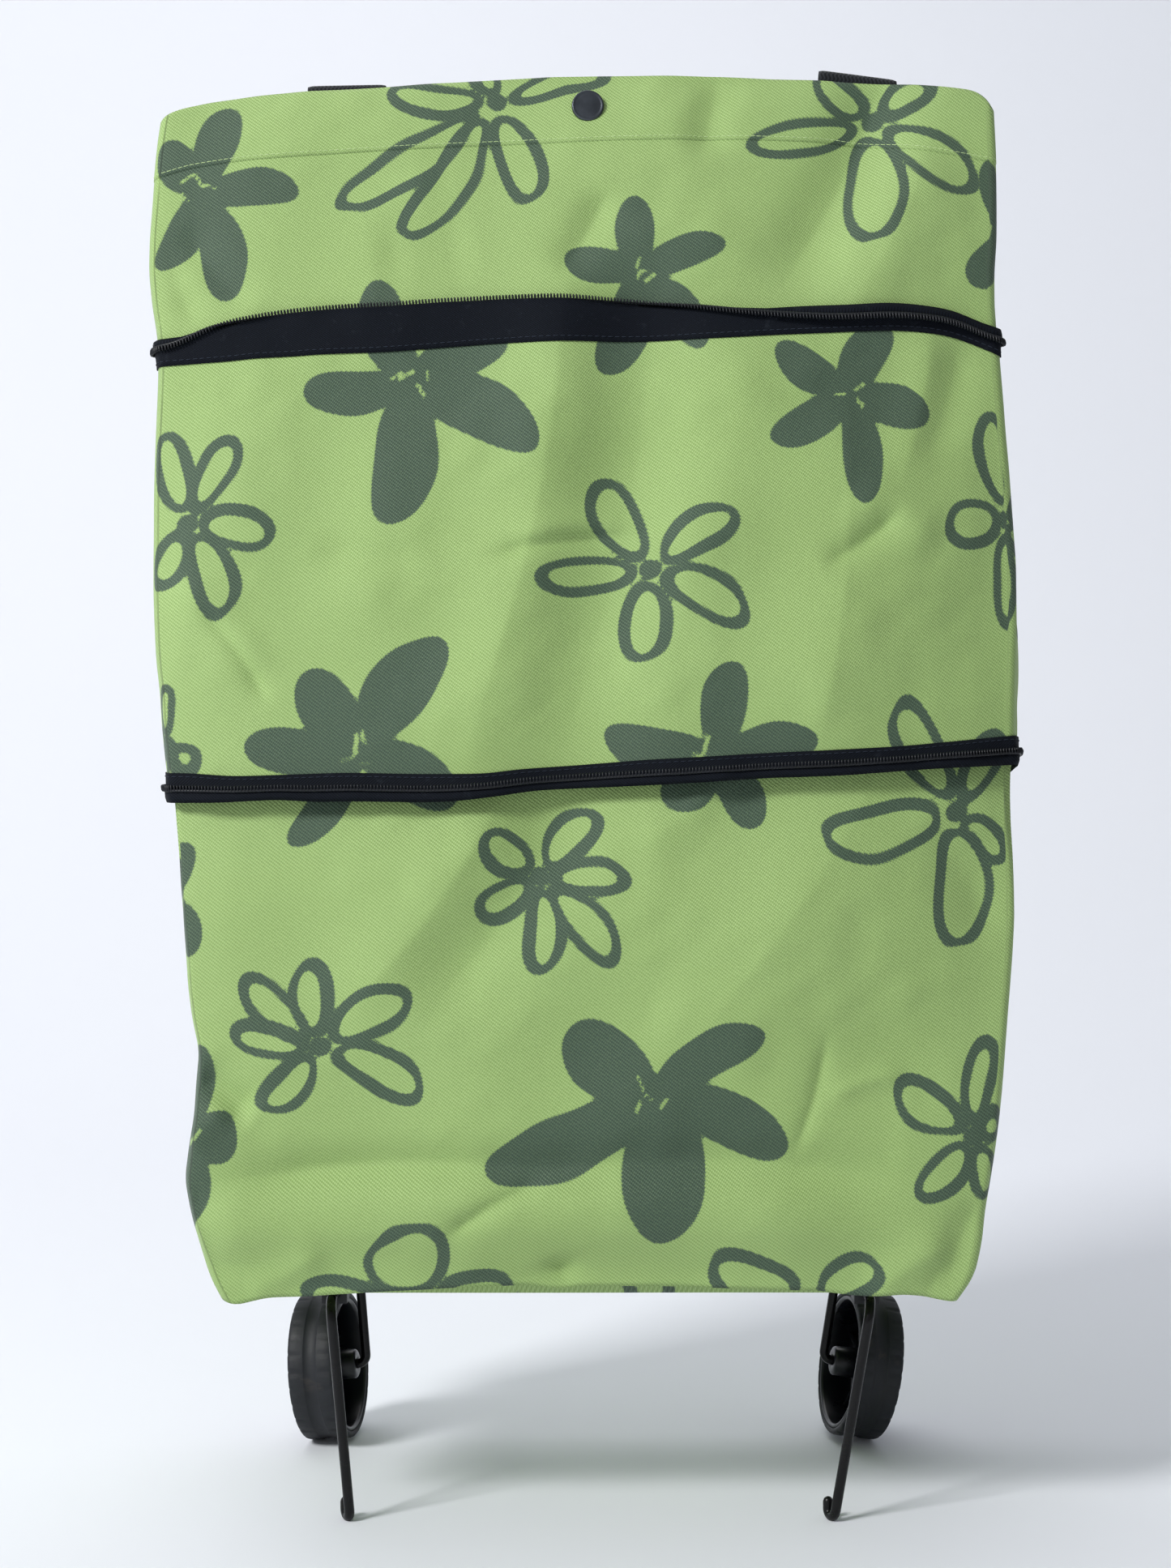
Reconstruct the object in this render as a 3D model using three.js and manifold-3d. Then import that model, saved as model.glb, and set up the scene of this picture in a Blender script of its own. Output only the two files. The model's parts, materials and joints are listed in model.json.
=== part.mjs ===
// Folding fabric shopping trolley: an open-topped cloth bag in three zipped
// storeys on two hinged wire side frames with a wheel each.
// Millimetres, +Z up, front of the bag towards -Y. The row origin is the
// centre of the bounding box's foot, on the floor.
import * as THREE from 'three';
import { ConvexGeometry } from 'three/addons/geometries/ConvexGeometry.js';
import * as BufferGeometryUtils from 'three/addons/utils/BufferGeometryUtils.js';
import Module from 'manifold-3d';

const wasm = await Module();
wasm.setup();

// ---------------------------------------------------------------- dimensions
const SHIFT_X = 8.45;             // design frame to row frame
const SHIFT_Y = -10.79;
const SHIFT_Z = -0.2;

const Z_BASE = 104;               // underside of the lowest fabric storey
const Z_LOWER_ZIP = 326;          // seam of the lower zip
const Z_UPPER_ZIP = 520;          // seam of the upper zip
const Z_HEM = 617;                // lower edge of the top hem
const Z_TOP = 647;                // mouth of the bag
const Y_FRONT = -85;              // front panel at the base
const Y_BACK = 85;                // upright back panel
const FRONT_LEAN = 105 / 545;     // how far the front panel leans back per mm
const FABRIC = 1.6;               // wall of a fabric panel
const HEM = 2.6;                  // doubled cloth of the hem
const GAP = 0.3;                  // clearance between touching pieces

// left edge, right edge and depth of the side pleat at each height
const OUTLINE = [
  [104, -170, 165, 0], [215, -177, 179, 0], [326, -190, 185.5, 0],
  [420, -199, 188, 0], [520, -201, 184.5, 19], [541, -202, 184.6, 23], [585, -204.5, 185, 31],
  [617, -204, 185, 38], [647, -203, 184, 44],
];

const BOARD_Z = [104.3, 107.3];
const PLATE_Z = [99.9, 102.2];
const PLATE_W = 26;
const PLATE_L = 120;

const WIRE_R = 2.25;              // frame wire
const ROD_Z = 96.5;               // hinge line of both side frames
const FOOT_Y = -70;               // front legs
const AXLE_Y = 70;                // wheel axles
const FRAME_L = { side: -1, x: -116, lean: 5.1, name: 'left' };
const FRAME_R = { side: 1, x: 120, lean: 9.6, name: 'right' };
const TOE = 9.5;                  // wheels toe out, degrees
const BEND_R = 9;                 // inside the wire's main bends
const WHEEL_R = 35;
const WHEEL_W = 22;
const TYRE_T = 3;
const WHEEL_OFFSET = 19;          // wire plane to wheel centre
const HUB_R = 7;
const BORE_R = 2.5;

const SNAP_X = -3.6;
const SNAP_Z = 632;
const SNAP_R = 7.5;

const STRAP_X = [-121, 128];      // centres of the handle straps
const STRAP_W = 38;
const STRAP_T = 1.6;
const HANDLE_DROP = 270;

const rad = (d) => (d * Math.PI) / 180;
const frontY = (z) => Y_FRONT + (z - 102) * FRONT_LEAN;

function outlineAt(z) {
  let i = 0;
  while (i < OUTLINE.length - 2 && z > OUTLINE[i + 1][0]) i++;
  const a = OUTLINE[i], b = OUTLINE[i + 1];
  const t = (z - a[0]) / (b[0] - a[0]);
  const l = (k) => a[k] + (b[k] - a[k]) * t;
  return { xl: l(1), xr: l(2), g: l(3), yf: frontY(z), yb: Y_BACK };
}

// ------------------------------------------------------------------ booleans
function toManifold(geometry) {
  const g = geometry.clone();
  g.deleteAttribute('normal');
  g.deleteAttribute('uv');
  const m = BufferGeometryUtils.mergeVertices(g, 1e-4);
  const index = m.index ? m.index.array
    : Uint32Array.from({ length: m.attributes.position.count }, (_, i) => i);
  return new wasm.Manifold(new wasm.Mesh({
    numProp: 3,
    vertProperties: new Float32Array(m.attributes.position.array),
    triVerts: new Uint32Array(index),
  }));
}

function fromManifold(solid) {
  const mesh = solid.getMesh();
  const g = new THREE.BufferGeometry();
  const p = new Float32Array(mesh.numVert * 3);
  for (let i = 0; i < mesh.numVert; i++) {
    for (let k = 0; k < 3; k++) p[i * 3 + k] = mesh.vertProperties[i * mesh.numProp + k];
  }
  g.setAttribute('position', new THREE.BufferAttribute(p, 3));
  g.setIndex(new THREE.BufferAttribute(new Uint32Array(mesh.triVerts), 1));
  return g;
}

const unite = (...gs) => fromManifold(gs.map(toManifold).reduce((a, b) => a.add(b)));
const cut = (g, ...tools) => fromManifold(tools.map(toManifold).reduce((a, b) => a.subtract(b), toManifold(g)));

// ------------------------------------------------------------------- shapes
// a slab between a plan outline at zb and another at zt
function slab(planB, zb, planT, zt) {
  const pts = [];
  for (const [x, y] of planB) pts.push(new THREE.Vector3(x, y, zb));
  for (const [x, y] of planT) pts.push(new THREE.Vector3(x, y, zt));
  return new ConvexGeometry(pts);
}

function box(x0, x1, y0, y1, z0, z1) {
  const g = new THREE.BoxGeometry(x1 - x0, y1 - y0, z1 - z0);
  g.translate((x0 + x1) / 2, (y0 + y1) / 2, (z0 + z1) / 2);
  return g;
}

function cylinderY(r, y0, y1, x, z, n = 16) {
  const g = new THREE.CylinderGeometry(r, r, y1 - y0, n);
  g.translate(x, (y0 + y1) / 2, z);
  return g;
}

function cylinderZ(r, z0, z1, x, y, n = 14) {
  const g = new THREE.CylinderGeometry(r, r, z1 - z0, n);
  g.rotateX(Math.PI / 2);
  g.translate(x, y, (z0 + z1) / 2);
  return g;
}

function lathe(points, n = 20) {
  return new THREE.LatheGeometry(points.map(([r, h]) => new THREE.Vector2(r, h)), n);
}

// turn a lathe, whose axis is +Y, so that its axis is `dir`, and put it at `at`
function aim(geometry, dir, at) {
  const q = new THREE.Quaternion().setFromUnitVectors(new THREE.Vector3(0, 1, 0), dir.clone().normalize());
  geometry.applyQuaternion(q);
  geometry.translate(at.x, at.y, at.z);
  return geometry;
}

// ------------------------------------------------------------ the fabric walls
const levelsBetween = (z0, z1) => [z0, ...OUTLINE.map((o) => o[0]).filter((z) => z > z0 + 2 && z < z1 - 2), z1];

function frontPanel(z0, z1, t) {
  const zs = levelsBetween(z0, z1);
  const parts = [];
  for (let i = 0; i < zs.length - 1; i++) {
    const [a, b] = [outlineAt(zs[i]), outlineAt(zs[i + 1])];
    const plan = (o) => [[o.xl, o.yf], [o.xr, o.yf], [o.xr, o.yf + t], [o.xl, o.yf + t]];
    parts.push(slab(plan(a), zs[i], plan(b), zs[i + 1]));
  }
  return parts.length > 1 ? unite(...parts) : parts[0];
}

function backPanel(z0, z1, t) {
  const zs = levelsBetween(z0, z1);
  const parts = [];
  for (let i = 0; i < zs.length - 1; i++) {
    const [a, b] = [outlineAt(zs[i]), outlineAt(zs[i + 1])];
    const plan = (o) => [[o.xl, o.yb - t], [o.xr, o.yb - t], [o.xr, o.yb], [o.xl, o.yb]];
    parts.push(slab(plan(a), zs[i], plan(b), zs[i + 1]));
  }
  return parts.length > 1 ? unite(...parts) : parts[0];
}

// a side panel with its pleat folding inwards halfway between front and back
function sidePanel(side, z0, z1, t) {
  const zs = levelsBetween(z0, z1);
  const parts = [];
  for (let i = 0; i < zs.length - 1; i++) {
    const halves = [0, 1].map((h) => {
      const plan = (o) => {
        const x = side < 0 ? o.xl : o.xr;
        const s = -side;
        const y0 = o.yf + t + GAP, y1 = o.yb - t - GAP, ym = (o.yf + o.yb) / 2;
        const xf = x + s * o.g;
        return h === 0
          ? [[x, y0], [xf, ym], [xf + s * t, ym], [x + s * t, y0]]
          : [[xf, ym], [x, y1], [x + s * t, y1], [xf + s * t, ym]];
      };
      return slab(plan(outlineAt(zs[i])), zs[i], plan(outlineAt(zs[i + 1])), zs[i + 1]);
    });
    parts.push(...halves);
  }
  return unite(...parts);
}

// a zip stringer: front (or back) run plus half of each side. `out0` and `out1`
// are its inner and outer distance from the wall at z0 and at z1
function stringer(front, z0, z1, in0, out0, in1, out1) {
  const a = outlineAt(z0), b = outlineAt(z1);
  const dir = front ? -1 : 1;
  const run = (o, i, u) => {
    const y = front ? o.yf : o.yb;
    return [[o.xl - u, y + dir * i], [o.xr + u, y + dir * i], [o.xr + u, y + dir * u], [o.xl - u, y + dir * u]];
  };
  // the side run: a short straight piece past the corner, then along the pleat
  const corner = (o, i, u, side) => {
    const x = side < 0 ? o.xl : o.xr;
    const y0 = (front ? o.yf : o.yb) + dir * (u - 0.2), y1 = (front ? o.yf : o.yb) - dir * (FABRIC + GAP + 0.6);
    return [[x + side * i, y0], [x + side * (u + 1), y0], [x + side * (u + 1), y1], [x + side * i, y1]];
  };
  const pleat = (o, i, u, side) => {
    const x = side < 0 ? o.xl : o.xr;
    const y = (front ? o.yf : o.yb) - dir * (FABRIC + GAP);
    const ym = (o.yf + o.yb) / 2 + dir * 0.6;
    const xf = x - side * o.g;
    return [[x + side * (i + 1), y], [x + side * (u + 1), y], [xf + side * (u + 1.4), ym], [xf + side * (i + 1.4), ym]];
  };
  const sides = [-1, 1].flatMap((side) => [corner, pleat].map((fn) => slab(fn(a, in0, out0, side), z0, fn(b, in1, out1, side), z1)));
  return unite(slab(run(a, in0, out0), z0, run(b, in1, out1), z1), ...sides);
}

// the teeth of a stringer: one plan outline of even height
function coil(front, z0, z1, i, u) {
  const o = outlineAt((z0 + z1) / 2);
  const dir = front ? -1 : 1;
  const yw = front ? o.yf : o.yb;
  const ym = (o.yf + o.yb) / 2 + dir * 0.6;
  const y1 = yw - dir * (FABRIC + GAP);
  const path = (d) => [
    [o.xl + o.g - (d + 1.4), ym], [o.xl - (d + 1), y1], [o.xl - (d + 1), yw + dir * d],
    [o.xr + (d + 1), yw + dir * d], [o.xr + (d + 1), y1], [o.xr - o.g + (d + 1.4), ym],
  ];
  const s = new THREE.Shape();
  [...path(u), ...path(i).reverse()].forEach(([x, y], k) => (k ? s.lineTo(x, y) : s.moveTo(x, y)));
  s.closePath();
  const g = new THREE.ExtrudeGeometry(s, { depth: z1 - z0, bevelEnabled: false });
  g.translate(0, 0, z0);
  return g;
}

// ------------------------------------------------------------- the wire frame
function frameBasis(f) {
  const l = rad(f.lean), s = f.side;
  return {
    down: new THREE.Vector3(-s * Math.sin(l), 0, -Math.cos(l)),
    out: new THREE.Vector3(s * Math.cos(l), 0, -Math.sin(l)),
    hinge: new THREE.Vector3(f.x, 0, ROD_Z),
  };
}

function wheelPose(f) {
  const b = frameBasis(f), l = rad(f.lean), t = rad(TOE);
  const axis = new THREE.Vector3(f.side * Math.cos(l) * Math.cos(t), Math.sin(t), -Math.sin(l) * Math.cos(t));
  const tilt = Math.sqrt(1 - axis.z * axis.z);
  const zc = WHEEL_R * tilt + (WHEEL_W / 2) * Math.abs(axis.z);
  // distance down the frame at which the wheel centre has that height
  const d = (ROD_Z + WHEEL_OFFSET * b.out.z - zc) / -b.down.z;
  const centre = b.hinge.clone().addScaledVector(b.down, d).addScaledVector(b.out, WHEEL_OFFSET);
  centre.y = AXLE_Y;
  return { axis, centre, drop: d };
}

function bend(path, p0, corner, p1) {
  const k = 0.5523;
  path.add(new THREE.CubicBezierCurve3(p0, p0.clone().lerp(corner, k), p1.clone().lerp(corner, k), p1));
}

function wirePath(f) {
  const b = frameBasis(f);
  const w = wheelPose(f);
  const at = (d, y, out = 0) => b.hinge.clone().addScaledVector(b.down, d).addScaledVector(b.out, out).add(new THREE.Vector3(0, y, 0));
  const path = new THREE.CurvePath();
  const len = (ROD_Z - WIRE_R + 0.13) / Math.cos(rad(f.lean));
  // the foot: a tight turn back up, just left of and behind the leg
  const hookX = -2.4, hookY = 5.2;
  const bottom = at(len, FOOT_Y);
  const legLow = at(len - 3.2, FOOT_Y);
  const mid = bottom.clone().add(new THREE.Vector3(hookX / 2, hookY / 2, 0));
  const hookLow = bottom.clone().add(new THREE.Vector3(hookX, hookY, 3.2));
  const hookEnd = hookLow.clone().add(new THREE.Vector3(0, 0, 4.2));
  path.add(new THREE.LineCurve3(hookEnd, hookLow));
  bend(path, hookLow, bottom.clone().add(new THREE.Vector3(hookX, hookY, 0)), mid);
  bend(path, mid, bottom, legLow);
  const legTop = at(BEND_R, FOOT_Y);
  path.add(new THREE.LineCurve3(legLow, legTop));
  const rodFront = at(0, FOOT_Y + BEND_R);
  bend(path, legTop, at(0, FOOT_Y), rodFront);
  const rodBack = at(0, AXLE_Y - BEND_R);
  path.add(new THREE.LineCurve3(rodFront, rodBack));
  const dropTop = at(BEND_R, AXLE_Y);
  bend(path, rodBack, at(0, AXLE_Y), dropTop);
  // drop wire down to the stub axle, which turns outwards along the wheel axis
  const root = w.centre.clone().addScaledVector(w.axis, -WHEEL_OFFSET);
  const r = 4.2;
  const dropEnd = root.clone().addScaledVector(dropTop.clone().sub(root).normalize(), r);
  path.add(new THREE.LineCurve3(dropTop, dropEnd));
  const stub = root.clone().addScaledVector(w.axis, r);
  bend(path, dropEnd, root, stub);
  path.add(new THREE.LineCurve3(stub, w.centre.clone().addScaledVector(w.axis, 13.6)));
  return path;
}

function tube(path, r, sides, steps) {
  const shape = new THREE.Shape();
  for (let i = 0; i < sides; i++) {
    const a = (i / sides) * 2 * Math.PI;
    if (i === 0) shape.moveTo(r * Math.cos(a), r * Math.sin(a));
    else shape.lineTo(r * Math.cos(a), r * Math.sin(a));
  }
  shape.closePath();
  return new THREE.ExtrudeGeometry(shape, { steps, extrudePath: path, bevelEnabled: false });
}

// ----------------------------------------------------------------- materials
const material = (color, roughness, metalness) => new THREE.MeshStandardMaterial({ color, roughness, metalness });
const cloth = () => material(0x9fc26c, 0.85, 0);
const zipTape = () => material(0x10161f, 0.8, 0);
const nylon = () => material(0x0c1016, 0.45, 0);
const webbing = () => material(0x14181f, 0.75, 0);
const plastic = () => material(0x15171b, 0.45, 0);
const paintedWire = () => material(0x101114, 0.25, 0.6);
const gunmetal = () => material(0x2b2e33, 0.35, 0.8);

const group = new THREE.Group();
const body = new THREE.Group();
body.position.set(SHIFT_X, SHIFT_Y, SHIFT_Z);
group.add(body);

function add(name, geometry, mat) {
  const mesh = new THREE.Mesh(geometry, mat);
  mesh.name = name;
  body.add(mesh);
  return mesh;
}

// ------------------------------------------------------------- base and board
const frames = [FRAME_L, FRAME_R];
const saddleY = [[-50, -36], [30, 44]];
const rivetSpots = [];
for (const f of frames) {
  for (const [y0, y1] of saddleY) rivetSpots.push([f.x - f.side * 12, (y0 + y1) / 2]);
}
const rivetHoles = (z0, z1) => rivetSpots.map(([x, y]) => cylinderZ(2.1, z0, z1, x, y, 12));

add('base_board', cut(box(-161, 156, -79, 81.5, BOARD_Z[0], BOARD_Z[1]), ...rivetHoles(103, 109), ...rivetSpots.map(([x, y]) => cylinderZ(3.8, 105.7, 109, x, y, 16))), plastic());
add('base_bottom_cloth', cut(box(-167, 162, -83, 84.6, 102.5, 104 - 0.0), ...rivetHoles(101, 105)), cloth());

// lowest storey: four cloth walls
add('base_panel_front', frontPanel(Z_BASE + GAP, Z_LOWER_ZIP - GAP, FABRIC), cloth());
add('base_panel_back', backPanel(Z_BASE + GAP, Z_LOWER_ZIP - GAP, FABRIC), cloth());
add('base_panel_left', sidePanel(-1, Z_BASE + GAP, Z_LOWER_ZIP - GAP, FABRIC), cloth());
add('base_panel_right', sidePanel(1, Z_BASE + GAP, Z_LOWER_ZIP - GAP, FABRIC), cloth());

// middle storey
add('mid_panel_front', frontPanel(Z_LOWER_ZIP + GAP, Z_UPPER_ZIP - GAP, FABRIC), cloth());
add('mid_panel_back', backPanel(Z_LOWER_ZIP + GAP, Z_UPPER_ZIP - GAP, FABRIC), cloth());
add('mid_panel_left', sidePanel(-1, Z_LOWER_ZIP + GAP, Z_UPPER_ZIP - GAP, FABRIC), cloth());
add('mid_panel_right', sidePanel(1, Z_LOWER_ZIP + GAP, Z_UPPER_ZIP - GAP, FABRIC), cloth());

// top storey, up to the hem
add('top_panel_front', frontPanel(Z_UPPER_ZIP + GAP, Z_HEM - GAP, FABRIC), cloth());
add('top_panel_back', backPanel(Z_UPPER_ZIP + GAP, Z_HEM - GAP, FABRIC), cloth());
add('top_panel_left', sidePanel(-1, Z_UPPER_ZIP + GAP, Z_HEM - GAP, FABRIC), cloth());
add('top_panel_right', sidePanel(1, Z_UPPER_ZIP + GAP, Z_HEM - GAP, FABRIC), cloth());

// the hem, with the snap fastener's holes through its front and back
const slopeOut = new THREE.Vector3(0, -1, FRONT_LEAN).normalize();
const snapFront = new THREE.Vector3(SNAP_X, frontY(SNAP_Z), SNAP_Z);
const snapBack = new THREE.Vector3(SNAP_X, Y_BACK, SNAP_Z);
const pinHole = (dir, at) => aim(lathe([[0, -8], [2.3, -8], [2.3, 8], [0, 8]], 14), dir, at);
add('hem_front', cut(frontPanel(Z_HEM, Z_TOP, HEM), pinHole(slopeOut, snapFront)), cloth());
add('hem_back', cut(backPanel(Z_HEM, Z_TOP, HEM), pinHole(new THREE.Vector3(0, 1, 0), snapBack)), cloth());
add('hem_left', sidePanel(-1, Z_HEM, Z_TOP, HEM), cloth());
add('hem_right', sidePanel(1, Z_HEM, Z_TOP, HEM), cloth());

// ---------------------------------------------------------------------- zips
add('upper_zip_tape_front', stringer(true, 519.5, 535.5, 0.4, 1.5, 2.4, 3.4), zipTape());
add('upper_zip_coil_front', coil(true, 535.8, 538.3, 2.0, 4.2), nylon());
add('upper_zip_tape_back', stringer(false, 519.5, 535.5, 0.4, 1.5, 2.4, 3.4), zipTape());
add('upper_zip_coil_back', coil(false, 535.8, 538.3, 2.0, 4.2), nylon());
add('lower_zip_tape_front', stringer(true, 310.5, 326.5, 2.4, 3.4, 0.4, 1.5), zipTape());
add('lower_zip_coil_front', coil(true, 307.7, 310.2, 2.0, 4.2), nylon());
add('lower_zip_tape_back', stringer(false, 310.5, 326.5, 2.4, 3.4, 0.4, 1.5), zipTape());
add('lower_zip_coil_back', coil(false, 307.7, 310.2, 2.0, 4.2), nylon());

// sliders run on the back stringers' coils; each is a block with a channel for
// the coil, open towards the tape, and a lug that carries the pull tab
function slider(z, up, x) {
  const s = up ? 1 : -1;
  const zs = (a, b) => (s > 0 ? [z + a, z + b] : [z - b, z - a]);
  const [b0, b1] = zs(-4.6, 3.4);
  const block = box(x - 5.5, x + 5.5, 85.7, 90.7, b0, b1);
  const [c0, c1] = zs(-1.8, 1.8);
  const [t0, t1] = zs(-9, 0);
  const channel = box(x - 9, x + 9, 86.5, 89.7, c0, c1);
  const slot = box(x - 9, x + 9, 86.6, 88.9, t0, t1);
  return cut(block, channel, slot);
}
// the pull tab: a thin plate lying along the slider, rounded at its free end
function pullTab(z, x) {
  const s = new THREE.Shape();
  s.moveTo(0.5, -3.2);
  s.lineTo(-16, -2.6);
  s.absarc(-17.5, 0, 3.0, -1.1, -Math.PI * 2 + 1.1, true);
  s.lineTo(0.5, 3.2);
  s.closePath();
  const g = new THREE.ExtrudeGeometry(s, { depth: 1.3, bevelEnabled: false, curveSegments: 8 });
  g.rotateX(Math.PI / 2);
  g.rotateZ(Math.PI);
  g.translate(x, 91.1, z);
  return g;
}
const COIL_UP = 537.05, COIL_LOW = 308.95;
const SLIDER_X = 163;
add('upper_zip_slider', slider(COIL_UP, true, SLIDER_X), gunmetal());
add('upper_zip_pull_tab', pullTab(COIL_UP, SLIDER_X), gunmetal());
add('lower_zip_slider', slider(COIL_LOW, false, SLIDER_X), gunmetal());
add('lower_zip_pull_tab', pullTab(COIL_LOW, SLIDER_X), gunmetal());

// ------------------------------------------------------------- snap fastener
// cap with its pin outside the front hem, socket inside it; stud inside the
// back hem on a post from outside
add('snap_cap', aim(lathe([[0, -3.2], [1.9, -3.2], [1.9, 0.35], [SNAP_R, 0.35], [SNAP_R, 1.3], [SNAP_R - 0.9, 2.1], [SNAP_R - 2, 1.8], [0, 2.0]], 18), slopeOut, snapFront), gunmetal());
add('snap_socket', aim(lathe([[2.3, 0], [6, 0], [6, 2.6], [4.9, 2.9], [4.9, 1.2], [2.3, 1.2], [2.3, 0]], 14), slopeOut.clone().negate(), snapFront.clone().addScaledVector(slopeOut, -(HEM + 0.4))), gunmetal());
add('snap_stud', aim(lathe([[2.3, 0], [6, 0], [6, 1.0], [4.2, 1.2], [4.2, 3.2], [3.2, 3.6], [2.3, 3.6], [2.3, 0]], 14), new THREE.Vector3(0, -1, 0), new THREE.Vector3(SNAP_X, Y_BACK - HEM - 0.35, SNAP_Z)), gunmetal());
add('snap_post', aim(lathe([[0, -3.4], [1.9, -3.4], [1.9, 0.35], [5.5, 0.35], [5.5, 1.0], [4.6, 1.5], [0, 1.6]], 14), new THREE.Vector3(0, 1, 0), snapBack), gunmetal());

// ------------------------------------------------------------ handle webbing
// a hanging loop in the XZ plane: two straight straps and a half-round bottom
function handleLoop(zTop, y0) {
  const cx = (STRAP_X[0] + STRAP_X[1]) / 2;
  const half = (STRAP_X[1] - STRAP_X[0]) / 2;
  const ro = half + STRAP_W / 2, ri = half - STRAP_W / 2;
  const zc = zTop - HANDLE_DROP + ro;
  const s = new THREE.Shape();
  s.moveTo(cx - ro, zTop);
  s.lineTo(cx - ro, zc);
  s.absarc(cx, zc, ro, Math.PI, 2 * Math.PI, false);
  s.lineTo(cx + ro, zTop);
  s.lineTo(cx + ri, zTop);
  s.lineTo(cx + ri, zc);
  s.absarc(cx, zc, ri, 2 * Math.PI, Math.PI, true);
  s.lineTo(cx - ri, zTop);
  s.closePath();
  const g = new THREE.ExtrudeGeometry(s, { depth: STRAP_T, bevelEnabled: false, curveSegments: 14 });
  g.rotateX(Math.PI / 2);
  g.translate(0, y0 + STRAP_T, 0);
  return g;
}
const REAR_Z = 655, REAR_Y = 93.6;
const FRONT_Z = 639, FRONT_Y = 28.0;
add('handle_rear', handleLoop(REAR_Z, REAR_Y), webbing());
add('handle_front', handleLoop(FRONT_Z, FRONT_Y), webbing());
STRAP_X.forEach((x, i) => {
  const side = i ? 'right' : 'left';
  const x0 = x - STRAP_W / 2, x1 = x + STRAP_W / 2;
  add(`handle_rear_end_${side}`, box(x0, x1, Y_BACK + 0.4, Y_BACK + 0.4 + STRAP_T, 622, 656), webbing());
  const plan = (z) => {
    const y = frontY(z) + HEM + 0.4;
    return [[x0, y], [x1, y], [x1, y + STRAP_T], [x0, y + STRAP_T]];
  };
  add(`handle_front_end_${side}`, slab(plan(620), 620, plan(641), 641), webbing());
});

// ------------------------------------------------------- frames and wheels
for (const f of frames) {
  const n = f.name;
  const plate = cut(box(f.x - PLATE_W / 2, f.x + PLATE_W / 2, -PLATE_L / 2, PLATE_L / 2, PLATE_Z[0], PLATE_Z[1]), ...rivetHoles(99, 103));
  add(`hinge_plate_${n}`, plate, plastic());
  saddleY.forEach(([y0, y1], i) => {
    const where = i ? 'rear' : 'front';
    const xi = f.x - f.side * 5.6, xo = f.x + f.side * 5.6, xf = f.x - f.side * 17;
    const block = box(Math.min(xi, xo), Math.max(xi, xo), y0, y1, 91.6, 99.6);
    const flange = box(Math.min(f.x, xf), Math.max(f.x, xf), y0, y1, 97.4, 99.6);
    const rx = f.x - f.side * 12, ry = (y0 + y1) / 2;
    add(`hinge_saddle_${where}_${n}`, cut(unite(block, flange), cylinderY(2.6, y0 - 2, y1 + 2, f.x, ROD_Z, 18), cylinderZ(2.1, 96, 101, rx, ry, 12)), plastic());
    const rivet = lathe([[0, 95.6], [2.6, 95.7], [3.6, 96.4], [3.6, 97.1], [1.8, 97.1], [1.8, 106.0], [3.4, 106.0], [3.4, 106.7], [2.6, 107.05], [0, 107.1]], 10);
    add(`hinge_rivet_${where}_${n}`, aim(rivet, new THREE.Vector3(0, 0, 1), new THREE.Vector3(rx, ry, 0)), gunmetal());
  });

  add(`frame_wire_${n}`, tube(wirePath(f), WIRE_R, 8, 80), paintedWire());

  const w = wheelPose(f);
  const half = WHEEL_W / 2;
  // cup wheel: open towards the frame, web near the outer face, long hub
  const rimR = WHEEL_R - TYRE_T - 0.3;
  const wall = 2.6;
  const profile = [
    [BORE_R, -half - 3.4], [HUB_R - 1, -half - 3.4], [HUB_R, -half - 2.4], [HUB_R + 0.6, 5.6],
    [rimR - wall, 6.6], [rimR - wall, -half + 1.2], [rimR, -half + 1.2], [rimR, half - 1.2], [rimR - wall, half - 1.2],
    [rimR - wall - 1, 9.4], [HUB_R + 3, 8.6], [HUB_R, 9.4], [BORE_R, 9.4], [BORE_R, -half - 3.4],
  ];
  const ribs = [];
  for (let i = 0; i < 5; i++) {
    const rib = new THREE.BoxGeometry(rimR - wall - HUB_R + 1.2, 12, 2.2);
    rib.translate((rimR - wall + HUB_R) / 2, 0.2, 0);
    rib.rotateY((i / 5) * 2 * Math.PI + 0.3);
    ribs.push(rib);
  }
  add(`wheel_${n}`, aim(unite(lathe(profile, 32), ...ribs), w.axis, w.centre), plastic());
  const tyre = lathe([
    [WHEEL_R - TYRE_T, -half], [WHEEL_R - 0.9, -half], [WHEEL_R, -half + 1.2], [WHEEL_R, half - 1.2],
    [WHEEL_R - 0.9, half], [WHEEL_R - TYRE_T, half], [WHEEL_R - TYRE_T, -half],
  ], 40);
  add(`tyre_${n}`, aim(tyre, w.axis, w.centre), material(0x1b1d20, 0.8, 0));
  // push-on cap over the end of the stub axle
  const cap = lathe([[2.6, 10.1], [5.4, 10.1], [5.4, 12.6], [3.8, 15.2], [0, 15.8], [0, 14.2], [2.6, 14.2], [2.6, 10.1]], 14);
  add(`axle_cap_${n}`, aim(cap, w.axis, w.centre), gunmetal());
}

export default group;
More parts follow.
